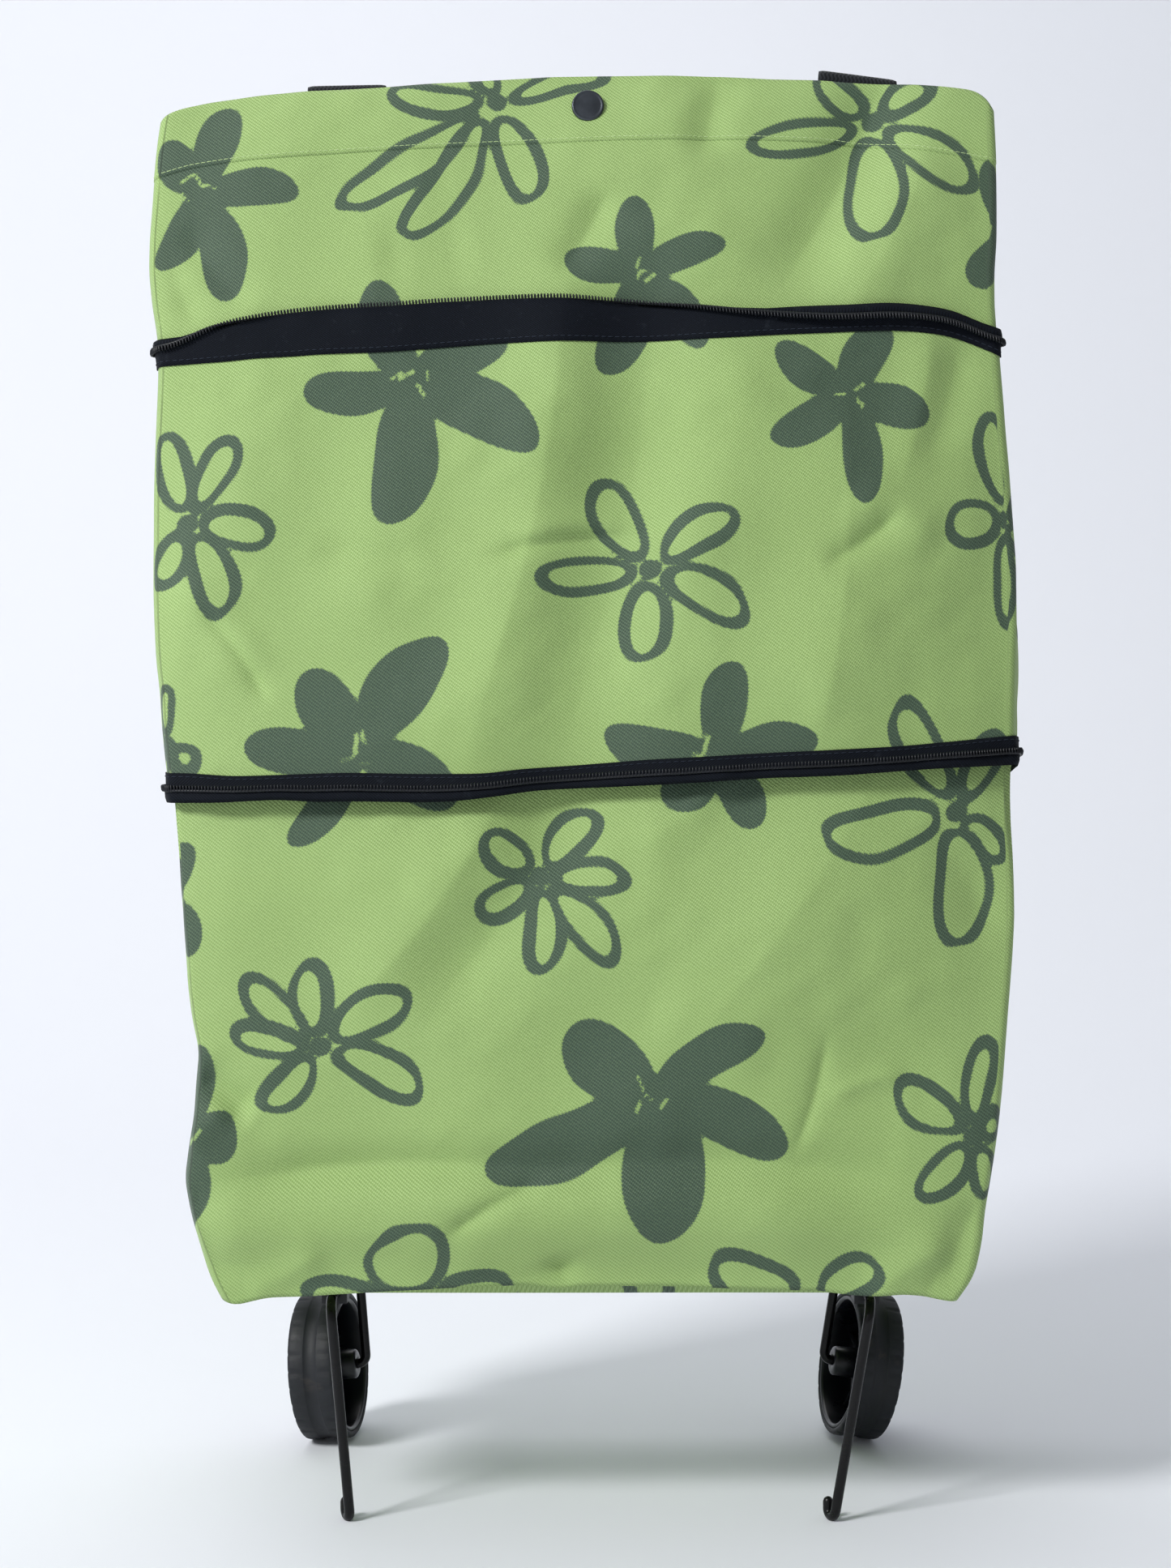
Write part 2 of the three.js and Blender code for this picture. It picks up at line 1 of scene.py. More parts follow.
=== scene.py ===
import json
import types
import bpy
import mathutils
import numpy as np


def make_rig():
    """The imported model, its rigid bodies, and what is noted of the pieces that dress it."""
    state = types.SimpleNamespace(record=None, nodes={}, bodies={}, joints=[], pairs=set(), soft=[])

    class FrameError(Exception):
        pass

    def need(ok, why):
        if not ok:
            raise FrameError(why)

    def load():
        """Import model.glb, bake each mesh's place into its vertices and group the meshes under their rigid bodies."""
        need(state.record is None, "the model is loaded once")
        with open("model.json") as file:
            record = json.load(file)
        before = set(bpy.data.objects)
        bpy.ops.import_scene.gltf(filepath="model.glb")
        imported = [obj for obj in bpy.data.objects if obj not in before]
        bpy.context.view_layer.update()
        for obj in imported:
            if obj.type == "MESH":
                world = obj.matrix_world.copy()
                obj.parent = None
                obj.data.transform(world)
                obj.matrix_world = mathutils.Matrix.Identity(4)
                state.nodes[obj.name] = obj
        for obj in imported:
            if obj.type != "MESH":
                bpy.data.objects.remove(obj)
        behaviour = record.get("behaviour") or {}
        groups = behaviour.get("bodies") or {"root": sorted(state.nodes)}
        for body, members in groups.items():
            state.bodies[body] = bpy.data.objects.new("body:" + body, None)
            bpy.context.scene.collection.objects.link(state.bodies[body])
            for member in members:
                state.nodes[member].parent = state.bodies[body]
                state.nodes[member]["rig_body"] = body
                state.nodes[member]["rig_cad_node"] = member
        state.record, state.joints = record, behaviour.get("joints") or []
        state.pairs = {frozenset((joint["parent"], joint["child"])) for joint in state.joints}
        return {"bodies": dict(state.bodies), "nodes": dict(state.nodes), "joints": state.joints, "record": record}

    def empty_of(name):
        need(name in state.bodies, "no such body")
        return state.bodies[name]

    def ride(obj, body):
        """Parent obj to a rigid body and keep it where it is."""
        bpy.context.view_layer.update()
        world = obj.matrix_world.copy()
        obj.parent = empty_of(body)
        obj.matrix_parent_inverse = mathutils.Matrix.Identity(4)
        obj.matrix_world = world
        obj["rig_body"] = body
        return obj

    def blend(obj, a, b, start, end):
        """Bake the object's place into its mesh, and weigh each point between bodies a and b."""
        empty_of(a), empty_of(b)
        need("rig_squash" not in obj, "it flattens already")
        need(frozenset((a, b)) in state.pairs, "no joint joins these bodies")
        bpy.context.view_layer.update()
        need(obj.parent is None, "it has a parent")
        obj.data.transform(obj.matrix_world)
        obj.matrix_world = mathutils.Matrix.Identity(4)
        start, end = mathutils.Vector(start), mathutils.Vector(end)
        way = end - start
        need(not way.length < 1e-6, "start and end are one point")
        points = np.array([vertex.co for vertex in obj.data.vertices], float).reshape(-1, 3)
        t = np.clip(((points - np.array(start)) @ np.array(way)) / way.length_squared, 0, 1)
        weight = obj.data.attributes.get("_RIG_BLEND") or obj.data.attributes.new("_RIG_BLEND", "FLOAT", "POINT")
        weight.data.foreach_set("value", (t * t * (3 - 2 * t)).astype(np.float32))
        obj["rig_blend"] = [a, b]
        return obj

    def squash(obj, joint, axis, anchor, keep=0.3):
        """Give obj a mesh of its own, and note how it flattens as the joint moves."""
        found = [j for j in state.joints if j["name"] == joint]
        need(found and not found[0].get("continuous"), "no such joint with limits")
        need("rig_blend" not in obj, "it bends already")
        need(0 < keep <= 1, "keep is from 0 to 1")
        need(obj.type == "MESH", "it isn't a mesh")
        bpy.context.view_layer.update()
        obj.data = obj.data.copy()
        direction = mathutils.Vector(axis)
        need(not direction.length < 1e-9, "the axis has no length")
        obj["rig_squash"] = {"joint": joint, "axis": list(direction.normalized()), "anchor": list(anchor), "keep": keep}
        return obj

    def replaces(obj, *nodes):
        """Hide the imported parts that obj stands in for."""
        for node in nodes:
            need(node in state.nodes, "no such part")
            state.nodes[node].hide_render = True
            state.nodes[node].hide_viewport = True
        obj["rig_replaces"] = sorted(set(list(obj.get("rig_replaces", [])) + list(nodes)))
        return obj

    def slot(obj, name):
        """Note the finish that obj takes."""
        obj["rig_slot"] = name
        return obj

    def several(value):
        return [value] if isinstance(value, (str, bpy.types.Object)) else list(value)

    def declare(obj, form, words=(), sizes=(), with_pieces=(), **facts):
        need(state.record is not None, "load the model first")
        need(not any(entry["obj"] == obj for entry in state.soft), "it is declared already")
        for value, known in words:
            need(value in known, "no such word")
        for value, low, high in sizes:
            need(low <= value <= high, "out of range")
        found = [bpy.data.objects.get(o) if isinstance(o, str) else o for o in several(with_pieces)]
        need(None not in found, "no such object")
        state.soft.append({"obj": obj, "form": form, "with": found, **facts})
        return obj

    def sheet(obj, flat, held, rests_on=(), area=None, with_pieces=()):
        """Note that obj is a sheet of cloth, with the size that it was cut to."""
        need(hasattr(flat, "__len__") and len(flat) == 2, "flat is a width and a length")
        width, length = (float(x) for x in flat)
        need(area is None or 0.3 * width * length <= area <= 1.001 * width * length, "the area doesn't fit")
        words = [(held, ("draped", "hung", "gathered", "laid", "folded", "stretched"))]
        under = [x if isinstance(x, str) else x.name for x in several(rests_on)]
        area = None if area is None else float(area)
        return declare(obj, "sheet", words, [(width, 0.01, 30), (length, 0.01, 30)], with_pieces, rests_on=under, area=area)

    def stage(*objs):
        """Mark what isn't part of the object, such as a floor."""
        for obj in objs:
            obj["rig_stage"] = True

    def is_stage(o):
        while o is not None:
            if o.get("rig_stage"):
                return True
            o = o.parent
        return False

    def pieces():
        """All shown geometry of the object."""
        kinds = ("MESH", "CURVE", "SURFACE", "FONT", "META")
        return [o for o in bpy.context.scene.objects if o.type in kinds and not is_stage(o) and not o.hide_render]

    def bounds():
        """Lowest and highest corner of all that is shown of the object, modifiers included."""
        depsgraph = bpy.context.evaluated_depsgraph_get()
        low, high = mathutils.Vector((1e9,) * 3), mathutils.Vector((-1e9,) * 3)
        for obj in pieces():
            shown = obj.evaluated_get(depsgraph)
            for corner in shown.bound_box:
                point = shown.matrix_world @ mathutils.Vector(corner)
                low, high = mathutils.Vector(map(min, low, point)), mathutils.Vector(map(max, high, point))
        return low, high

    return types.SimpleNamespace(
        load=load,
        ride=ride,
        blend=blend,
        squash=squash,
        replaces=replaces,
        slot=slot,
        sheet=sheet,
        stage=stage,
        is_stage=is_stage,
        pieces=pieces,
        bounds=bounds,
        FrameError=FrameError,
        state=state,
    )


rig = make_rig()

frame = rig.load()
cad_lo_hi = [list(map(float, c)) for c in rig.bounds()]

import json
import math
import bpy
import numpy as np
from mathutils import Vector, Matrix, Quaternion

# ------------------------------------------------------------------ basics
# Design millimetres (bag centred, front towards -Y) to row-frame metres.
SHIFT = np.array([8.45, -10.79, -0.2])


def W(p):
    return (np.asarray(p, float) + SHIFT) / 1000.0


def smooth01(t):
    t = np.clip(t, 0.0, 1.0)
    return t * t * (3 - 2 * t)


def lerp(a, b, t):
    return a + (b - a) * t


collection = bpy.context.scene.collection


def make(name, verts_mm, faces, smooth=True, attrs=None, uv=None):
    """verts in design mm; attrs = {name: per-vertex floats}; uv = per-vertex (u, v)."""
    me = bpy.data.meshes.new(name)
    me.from_pydata([tuple(v) for v in W(verts_mm)], [], [tuple(int(i) for i in f) for f in faces])
    me.validate(clean_customdata=False)
    if smooth:
        me.polygons.foreach_set("use_smooth", [True] * len(me.polygons))
    for key, values in (attrs or {}).items():
        a = me.attributes.new(key, "FLOAT", "POINT")
        a.data.foreach_set("value", np.asarray(values, np.float32))
    if uv is not None:
        layer = me.uv_layers.new(name="Weave")
        loops = np.empty(len(me.loops), np.int32)
        me.loops.foreach_get("vertex_index", loops)
        layer.data.foreach_set("uv", np.asarray(uv, np.float32)[loops].ravel())
    me.update()
    o = bpy.data.objects.new(name, me)
    collection.objects.link(o)
    return o


class Parts:
    """Several closed bits gathered into one mesh."""

    def __init__(self):
        self.v, self.f, self.n = [], [], 0

    def add(self, verts, faces):
        verts = np.asarray(verts, float)
        self.v.append(verts)
        self.f.extend([tuple(int(i) + self.n for i in f) for f in faces])
        self.n += len(verts)

    def make(self, name, **kw):
        return make(name, np.concatenate(self.v), self.f, **kw)


def grid_faces(rows, cols, closed, off=0, flip=False):
    out = []
    n = cols if closed else cols - 1
    for r in range(rows - 1):
        for c in range(n):
            a, b = off + r * cols + c, off + r * cols + (c + 1) % cols
            d, e = a + cols, b + cols
            out.append((a, d, e, b) if flip else (a, b, e, d))
    return out


def sweep_rows(rings, cap=True):
    """Closed rings of equal length, joined, with fan-free n-gon caps."""
    rings = np.asarray(rings, float)
    m, n = rings.shape[:2]
    verts = rings.reshape(-1, 3)
    faces = grid_faces(m, n, True)
    if cap:
        faces.append(tuple(range(n))[::-1])
        faces.append(tuple((m - 1) * n + i for i in range(n)))
    return verts, faces


def frames_along(path):
    """Tangent and two steady normals at each point of a polyline."""
    path = np.asarray(path, float)
    t = np.gradient(path, axis=0)
    t /= np.linalg.norm(t, axis=1)[:, None]
    n = np.cross(t[0], [0.0, 0.0, 1.0])
    if np.linalg.norm(n) < 1e-3:
        n = np.cross(t[0], [0.0, 1.0, 0.0])
    n /= np.linalg.norm(n)
    ns = []
    for i in range(len(path)):
        n = n - t[i] * (n @ t[i])
        n /= np.linalg.norm(n)
        ns.append(n.copy())
    ns = np.array(ns)
    return t, ns, np.cross(t, ns)


def tube(path, radius, sides=20, round_ends=(True, True)):
    path = np.asarray(path, float)
    t, a, b = frames_along(path)
    ang = np.arange(sides) / sides * 2 * math.pi
    circ = lambda p, x, y, r: p + r * (np.cos(ang)[:, None] * x + np.sin(ang)[:, None] * y)
    rings = []
    if round_ends[0]:
        for k in (80, 60, 35):
            r = math.radians(k)
            rings.append(circ(path[0] - t[0] * radius * math.sin(r), a[0], b[0], radius * math.cos(r)))
    for i in range(len(path)):
        rings.append(circ(path[i], a[i], b[i], radius))
    if round_ends[1]:
        for k in (35, 60, 80):
            r = math.radians(k)
            rings.append(circ(path[-1] + t[-1] * radius * math.sin(r), a[-1], b[-1], radius * math.cos(r)))
    return sweep_rows(rings)


def lathe(profile, axis, at, sides=64, phase=0.0):
    """Closed profile of (radius, height) turned about `axis` through `at`."""
    z = np.asarray(axis, float) / np.linalg.norm(axis)
    x = np.cross([0.0, 0.0, 1.0], z)
    if np.linalg.norm(x) < 1e-3:
        x = np.array([1.0, 0, 0])
    x /= np.linalg.norm(x)
    y = np.cross(z, x)
    at = np.asarray(at, float)
    verts, faces, rings = [], [], []
    for r, h in profile:
        if r < 1e-6:
            rings.append([len(verts)])
            verts.append(at + z * h)
        else:
            ids = []
            for k in range(sides):
                a = phase + k / sides * 2 * math.pi
                ids.append(len(verts))
                verts.append(at + z * h + r * (math.cos(a) * x + math.sin(a) * y))
            rings.append(ids)
    m = len(rings)
    closed = rings[0] is not None and not (len(rings[0]) == 1 and len(rings[-1]) == 1)
    for i in range(m if closed else m - 1):
        p, q = rings[i], rings[(i + 1) % m]
        if len(p) == 1 and len(q) == 1:
            continue
        for k in range(sides):
            k2 = (k + 1) % sides
            if len(p) == 1:
                faces.append((p[0], q[k2], q[k]))
            elif len(q) == 1:
                faces.append((p[k], p[k2], q[0]))
            else:
                faces.append((p[k], p[k2], q[k2], q[k]))
    return np.array(verts), faces


def chamfer_box(x0, x1, y0, y1, z0, z1, c=0.3):
    """A box with cut edges, as rings along X."""
    c = min(c, (x1 - x0) / 2.01, (y1 - y0) / 2.01, (z1 - z0) / 2.01)
    def ring(x, i):
        return [[x, y0 + i + c, z0 + i], [x, y1 - i - c, z0 + i], [x, y1 - i, z0 + i + c], [x, y1 - i, z1 - i - c],
                [x, y1 - i - c, z1 - i], [x, y0 + i + c, z1 - i], [x, y0 + i, z1 - i - c], [x, y0 + i, z0 + i + c]]
    return sweep_rows([ring(x0, c * 0.8), ring(x0 + c, 0), ring(x1 - c, 0), ring(x1, c * 0.8)])


# --------------------------------------------------------------- materials
def srgb(r, g, b):
    def f(c):
        c /= 255.0
        return c / 12.92 if c <= 0.04045 else ((c + 0.055) / 1.055) ** 2.4
    return (f(r), f(g), f(b), 1.0)


class Mat:
    def __init__(self, name):
        self.m = bpy.data.materials.new(name)
        self.m.use_nodes = True
        self.t = self.m.node_tree
        self.t.nodes.clear()
        self.out = self.n("ShaderNodeOutputMaterial")
        self.b = self.n("ShaderNodeBsdfPrincipled")
        self.link(self.b.outputs[0], self.out.inputs[0])

    def n(self, kind, **props):
        node = self.t.nodes.new(kind)
        for k, v in props.items():
            setattr(node, k, v)
        return node

    def link(self, a, b):
        self.t.links.new(a, b)

    def put(self, socket, value):
        if hasattr(value, "links") or hasattr(value, "is_output"):
            self.link(value, socket)
        else:
            socket.default_value = value

    def math(self, op, a, b=0.0, clamp=False):
        node = self.n("ShaderNodeMath", operation=op, use_clamp=clamp)
        self.put(node.inputs[0], a)
        self.put(node.inputs[1], b)
        return node.outputs[0]

    def mix(self, fac, a, b):
        node = self.n("ShaderNodeMix", data_type="RGBA")
        self.put(node.inputs[0], fac)
        self.put(node.inputs[6], a)
        self.put(node.inputs[7], b)
        return node.outputs[2]

    def noise(self, vec, scale, detail=4.0, rough=0.55, dist=0.0):
        node = self.n("ShaderNodeTexNoise")
        node.inputs["Scale"].default_value = scale
        node.inputs["Detail"].default_value = detail
        node.inputs["Roughness"].default_value = rough
        node.inputs["Distortion"].default_value = dist
        if vec is not None:
            self.link(vec, node.inputs["Vector"])
        return node.outputs["Fac"]

    def ramp(self, fac, lo, hi, a=0.0, b=1.0):
        node = self.n("ShaderNodeMapRange", clamp=True)
        self.link(fac, node.inputs["Value"])
        node.inputs["From Min"].default_value = lo
        node.inputs["From Max"].default_value = hi
        node.inputs["To Min"].default_value = a
        node.inputs["To Max"].default_value = b
        return node.outputs[0]

    def coord(self, kind="Object"):
        return self.n("ShaderNodeTexCoord").outputs[kind]

    def scaled(self, vec, s):
        node = self.n("ShaderNodeMapping")
        self.link(vec, node.inputs["Vector"])
        node.inputs["Scale"].default_value = s
        return node.outputs[0]

    def bump(self, height, strength, distance, normal=None):
        node = self.n("ShaderNodeBump")
        node.inputs["Strength"].default_value = strength
        node.inputs["Distance"].default_value = distance
        self.link(height, node.inputs["Height"])
        if normal is not None:
            self.link(normal, node.inputs["Normal"])
        return node.outputs[0]

    def attr(self, name):
        return self.n("ShaderNodeAttribute", attribute_name=name).outputs["Fac"]

    def set(self, **kw):
        for k, v in kw.items():
            self.put(self.b.inputs[k.replace("_", " ")], v)
        return self


def weave_height(m, pitch):
    """Oxford weave from the cloth's own metres, its floats stepping along a diagonal: 0 in the gaps to 1 on the yarns."""
    uv = m.n("ShaderNodeUVMap", uv_map="Weave").outputs[0]
    sep = m.n("ShaderNodeSeparateXYZ")
    m.link(uv, sep.inputs[0])
    k = 2 * math.pi / pitch
    wob = m.math("MULTIPLY", m.math("SUBTRACT", m.noise(uv, 190.0, 2.0), 0.5), 1.0)
    u = m.math("ADD", m.math("MULTIPLY", sep.outputs[0], k), wob)
    v = m.math("ADD", m.math("MULTIPLY", sep.outputs[1], k), wob)
    diag = m.math("SINE", m.math("ADD", m.math("MULTIPLY", u, 0.78), m.math("MULTIPLY", v, 1.05)))
    cross = m.math("SINE", m.math("SUBTRACT", m.math("MULTIPLY", v, 1.0), m.math("MULTIPLY", u, 1.55)))
    h = m.math("ADD", m.math("MULTIPLY", diag, 0.31), m.math("MULTIPLY", cross, 0.19))
    return m.math("ADD", h, 0.5), uv


GREEN = srgb(164, 196, 112)
GREEN_DARK = srgb(138, 170, 88)
PRINT = srgb(72, 92, 74)


def cloth_material():
    m = Mat("printed_cloth")
    h, uv = weave_height(m, 0.00165)
    obj = m.coord("Object")
    blot = m.noise(obj, 9.0, 3.0)
    fine = m.noise(uv, 900.0, 3.0)
    base = m.mix(m.ramp(blot, 0.3, 0.7), srgb(151, 181, 108), srgb(158, 188, 116))
    # painted shade darkens the green in the weave's gaps, and painted highlight pales it on the yarn tops
    base = m.mix(m.ramp(h, 0.08, 0.72, 0.62, 0.0), base, srgb(112, 142, 66))
    base = m.mix(m.ramp(h, 0.62, 0.98, 0.0, 0.45), base, srgb(190, 215, 146))
    base = m.mix(m.ramp(fine, 0.35, 0.65, 0.0, 0.12), base, srgb(186, 214, 140))
    # the print: sharp edge on a distance field, reaching a little further onto the yarn tops than into the gaps
    sdf = m.attr("print_sdf")
    edge = m.math("ADD", sdf, m.math("MULTIPLY", m.math("SUBTRACT", m.noise(uv, 1400.0, 2.0), 0.5), 0.7))
    edge = m.math("ADD", edge, m.math("MULTIPLY", m.math("SUBTRACT", 0.5, h), 0.8))
    mask = m.ramp(edge, 0.22, -0.22)
    # painted shade darkens the ink in the weave's gaps, and painted highlight pales it on the yarn tops
    ink = m.mix(m.ramp(h, 0.12, 0.72, 0.6, 0.0), srgb(60, 83, 67), srgb(33, 50, 41))
    ink = m.mix(m.ramp(h, 0.62, 0.98, 0.0, 0.42), ink, srgb(104, 130, 100))
    ink = m.mix(m.ramp(m.noise(uv, 1100.0, 2.0), 0.48, 0.75, 0.0, 0.3), ink, srgb(104, 126, 92))
    col = m.mix(m.math("MULTIPLY", mask, 0.97), base, ink)
    # the coated inner face is paler and has no print; painted shade darkens it in the weave's gaps
    inner = m.attr("inner")
    col = m.mix(inner, col, m.mix(m.ramp(h, 0.1, 0.9, 0.25, 0.0), srgb(170, 190, 138), srgb(140, 160, 110)))
    m.set(Base_Color=col, Roughness=m.ramp(h, 0.0, 1.0, 0.80, 0.52))
    m.b.inputs["Specular IOR Level"].default_value = 0.5
    m.b.inputs["Sheen Weight"].default_value = 0.12
    m.b.inputs["Sheen Roughness"].default_value = 0.5
    n1 = m.bump(h, 0.7, 0.0003)
    crinkle = m.noise(obj, 120.0, 5.0, 0.6, 0.4)
    n2 = m.bump(crinkle, 0.25, 0.0009, n1)
    m.set(Normal=n2)
    return m.m


def tape_material(name="zip_tape", pitch=0.0011, tint=(17, 22, 31)):
    m = Mat(name)
    h, uv = weave_height(m, pitch)
    obj = m.coord("Object")
    # painted shade and highlight: the tint darkens in the weave's gaps and pales on the yarn tops
    col = m.mix(m.ramp(h, 0.1, 0.9), srgb(*(int(c * 0.55) for c in tint)), srgb(*(int(c * 1.35) for c in tint)))
    dust = m.noise(obj, 180.0, 4.0)
    col = m.mix(m.ramp(dust, 0.62, 0.8, 0.0, 0.25), col, srgb(56, 62, 70))
    m.set(Base_Color=col, Roughness=m.ramp(h, 0, 1, 0.92, 0.7), Normal=m.bump(h, 0.6, 0.0002))
    m.b.inputs["Specular IOR Level"].default_value = 0.16
    return m.m


def web_material():
    m = Mat("webbing")
    uv = m.n("ShaderNodeUVMap", uv_map="Weave").outputs[0]
    sep = m.n("ShaderNodeSeparateXYZ")
    m.link(uv, sep.inputs[0])
    u = m.math("MULTIPLY", sep.outputs[0], 2 * math.pi / 0.0019)
    v = m.math("MULTIPLY", sep.outputs[1], 2 * math.pi / 0.0026)
    zig = m.math("ADD", u, m.math("MULTIPLY", m.math("SINE", v), 0.9))
    h = m.math("ADD", m.math("MULTIPLY", m.math("SINE", zig), 0.35), m.math("MULTIPLY", m.math("SINE", m.math("ADD", v, u)), 0.15))
    h = m.math("ADD", h, 0.5)
    # painted shade and highlight: the black darkens in the weave's gaps and pales on the yarn tops
    col = m.mix(m.ramp(h, 0.1, 0.9), srgb(6, 9, 14), srgb(22, 27, 35))
    col = m.mix(m.ramp(m.noise(m.coord("Object"), 90.0, 4.0), 0.6, 0.85, 0.0, 0.2), col, srgb(60, 64, 72))
    m.set(Base_Color=col, Roughness=m.ramp(h, 0, 1, 0.9, 0.68), Normal=m.bump(h, 0.7, 0.0004))
    m.b.inputs["Specular IOR Level"].default_value = 0.35
    m.b.inputs["Sheen Weight"].default_value = 0.08
    return m.m


def hard_material(name, tint, rough, metal=0.0, grain=900.0, depth=0.00004, wear=(70, 72, 76), worn=0.25, coat=0.0, spec=0.5):
    """Moulded or lacquered surface: fine grain, blotchy gloss, rubbed spots."""
    m = Mat(name)
    obj = m.coord("Object")
    g = m.noise(obj, grain, 3.0)
    blot = m.noise(obj, 55.0, 4.0)
    col = m.mix(m.ramp(blot, 0.35, 0.7), srgb(*tint), srgb(*(min(255, int(c * 1.35) + 2) for c in tint)))
    scuff = m.noise(m.scaled(obj, (1.0, 1.0, 3.5)), 130.0, 6.0, 0.7, 1.2)
    geo = m.n("ShaderNodeNewGeometry")
    edge = m.ramp(geo.outputs["Pointiness"], 0.505, 0.56)
    rub = m.math("MULTIPLY", m.math("MAXIMUM", m.ramp(scuff, 0.62, 0.78), m.math("MULTIPLY", edge, 0.6)), worn)
    col = m.mix(rub, col, srgb(*wear))
    m.set(Base_Color=col, Metallic=metal, Roughness=m.math("ADD", m.ramp(blot, 0.3, 0.75, rough - 0.06, rough + 0.08), m.math("MULTIPLY", rub, 0.3)))
    m.set(Normal=m.bump(g, 0.35, depth))
    m.b.inputs["Specular IOR Level"].default_value = spec
    if coat:
        m.b.inputs["Coat Weight"].default_value = coat
        m.b.inputs["Coat Roughness"].default_value = 0.12
    return m.m


def tread_material():
    m = Mat("tyre_rubber")
    obj = m.coord("Object")
    blot = m.noise(obj, 40.0, 5.0, 0.6)
    grit = m.noise(obj, 600.0, 4.0)
    col = m.mix(m.ramp(blot, 0.35, 0.7), srgb(14, 17, 22), srgb(30, 33, 39))
    dirt = m.noise(obj, 26.0, 5.0, 0.65, 0.8)
    col = m.mix(m.ramp(dirt, 0.60, 0.74, 0.0, 0.55), col, srgb(86, 74, 64))
    m.set(Base_Color=col, Roughness=m.ramp(blot, 0.3, 0.7, 0.52, 0.72), Normal=m.bump(grit, 0.5, 0.0002))
    m.b.inputs["Specular IOR Level"].default_value = 0.45
    return m.m


def thread_material():
    m = Mat("stitch_thread")
    obj = m.coord("Object")
    n = m.noise(m.scaled(obj, (1.0, 1.0, 4.0)), 1500.0, 2.0)
    m.set(Base_Color=m.mix(m.ramp(n, 0.3, 0.7), srgb(176, 204, 132), srgb(206, 226, 172)), Roughness=0.6, Normal=m.bump(n, 0.5, 0.0001))
    return m.m


MAT_CLOTH = cloth_material()
MAT_TAPE = tape_material(tint=(11, 16, 24))
MAT_COIL = hard_material("zip_coil", (9, 12, 18), 0.4, grain=1500.0, worn=0.1, spec=0.35)
MAT_WEB = web_material()
MAT_PLASTIC = hard_material("moulded_plastic", (13, 14, 17), 0.45, grain=700.0, depth=0.00008, spec=0.35)
MAT_WHEEL = hard_material("wheel_plastic", (7, 9, 14), 0.3, grain=500.0, depth=0.00005, wear=(40, 42, 50), spec=0.4)
MAT_TREAD = tread_material()
MAT_WIRE = hard_material("coated_wire", (4, 5, 6), 0.28, grain=350.0, depth=0.00003, wear=(60, 52, 48), worn=0.12, spec=0.26)
MAT_GUN = hard_material("snap_metal", (62, 66, 72), 0.34, metal=0.75, grain=2000.0, depth=0.00003, wear=(110, 114, 120))
MAT_ZIPMETAL = hard_material("zip_slider_metal", (30, 33, 38), 0.3, metal=0.7, grain=1500.0, depth=0.00003, wear=(120, 118, 112))
MAT_RIVET = hard_material("rivet_steel", (150, 152, 155), 0.35, metal=0.95, grain=1500.0, depth=0.00003, wear=(190, 190, 190))
MAT_CAP = hard_material("axle_cap", (26, 27, 30), 0.32, metal=0.6, grain=900.0, depth=0.00003)
MAT_THREAD = thread_material()
MAT_STRAPTHREAD = tape_material("strap_thread", 0.0004, (44, 50, 60))


def dress(o, mat):
    o.data.materials.clear()
    o.data.materials.append(mat)
    return o


# --------------------------------------------------------------- the bag form
# left and right edge of the cloth at each height, as it stands filled with air
OUT = np.array([
    (96, -158, 152), (104, -163, 158.5), (110.7, -166.5, 163.1), (124.2, -171.0, 166.5), (137.8, -175.2, 168.2), (151.4, -178.0, 171.0),
    (165.1, -176.5, 173.5), (178.8, -174.4, 175.6), (192.6, -174.0, 177.3), (206.5, -172.8, 178.7), (220.4, -176.3, 180.1),
    (234.3, -178.5, 181.6), (248.3, -179.6, 183.0), (262.4, -181.3, 184.1), (276.5, -183.1, 184.4), (290.6, -184.5, 184.4),
    (304.8, -186.3, 184.1), (319.1, -188.0, 184.4), (333.4, -190.2, 185.4), (347.8, -192.0, 185.6), (362.2, -193.2, 186.3),
    (376.7, -195.3, 187.0), (391.3, -196.4, 187.7), (405.9, -197.3, 187.9), (420.5, -197.7, 188.1), (435.2, -197.9, 187.4),
    (450.0, -198.3, 186.7), (464.9, -198.3, 186.0), (479.7, -198.2, 185.0), (494.7, -197.9, 184.3), (509.7, -197.8, 183.4),
    (524.8, -199.3, 182.6), (539.9, -202.1, 181.9), (555.1, -203.9, 182.2), (570.3, -204.0, 183.6), (585.7, -203.2, 184.0),
    (601.0, -202.5, 184.2), (616.5, -201.4, 184.0), (632.0, -199.5, 183.6), (650.0, -197.5, 183.2)])
BOT = np.array([(-170, 104), (-162, 100.5), (-155.4, 98.6), (-149, 100.0), (-142, 101.8), (-124.1, 102.3), (-92.8, 104.6), (-61.4, 106.3), (-30.0, 107.3),
                (-16, 105.6), (-6, 106.9), (32.8, 106.7), (64.2, 106.0), (95.6, 105.0), (106.0, 103.2), (116.5, 102.3), (131, 103.4), (140, 102.6), (150, 100.4),
                (157, 99.9), (164, 103.5)])
TOPL = np.array([(-206, 622), (-203, 624.5), (-199, 628.0), (-194, 630.6), (-188.0, 632.4), (-177.9, 634.7), (-155.5, 637.8), (-133.1, 639.7), (-110.6, 640.5), (-88.1, 642.1),
                 (-65.6, 644.0), (-43.1, 645.6), (-20.6, 647.1), (1.9, 647.5), (35.6, 647.5), (58.1, 647.1), (80.6, 646.0),
                 (103.1, 645.6), (114.4, 644.8), (148.1, 643.6), (165, 642.0), (174, 641.0), (179.5, 638.4), (183.0, 634.0), (185.5, 629)])
LZ = np.array([(-190, 325.4), (-174.9, 325.2), (-159.4, 323.9), (-132.1, 324.8), (-108.8, 325.6), (-77.5, 325.0), (-47.3, 325.2),
               (-35.1, 327.0), (-7.0, 328.8), (23.2, 331.3), (43.3, 332.3), (73.6, 334.1), (105.6, 335.6), (133.8, 337.0), (162.3, 339.5), (188, 341.9)])
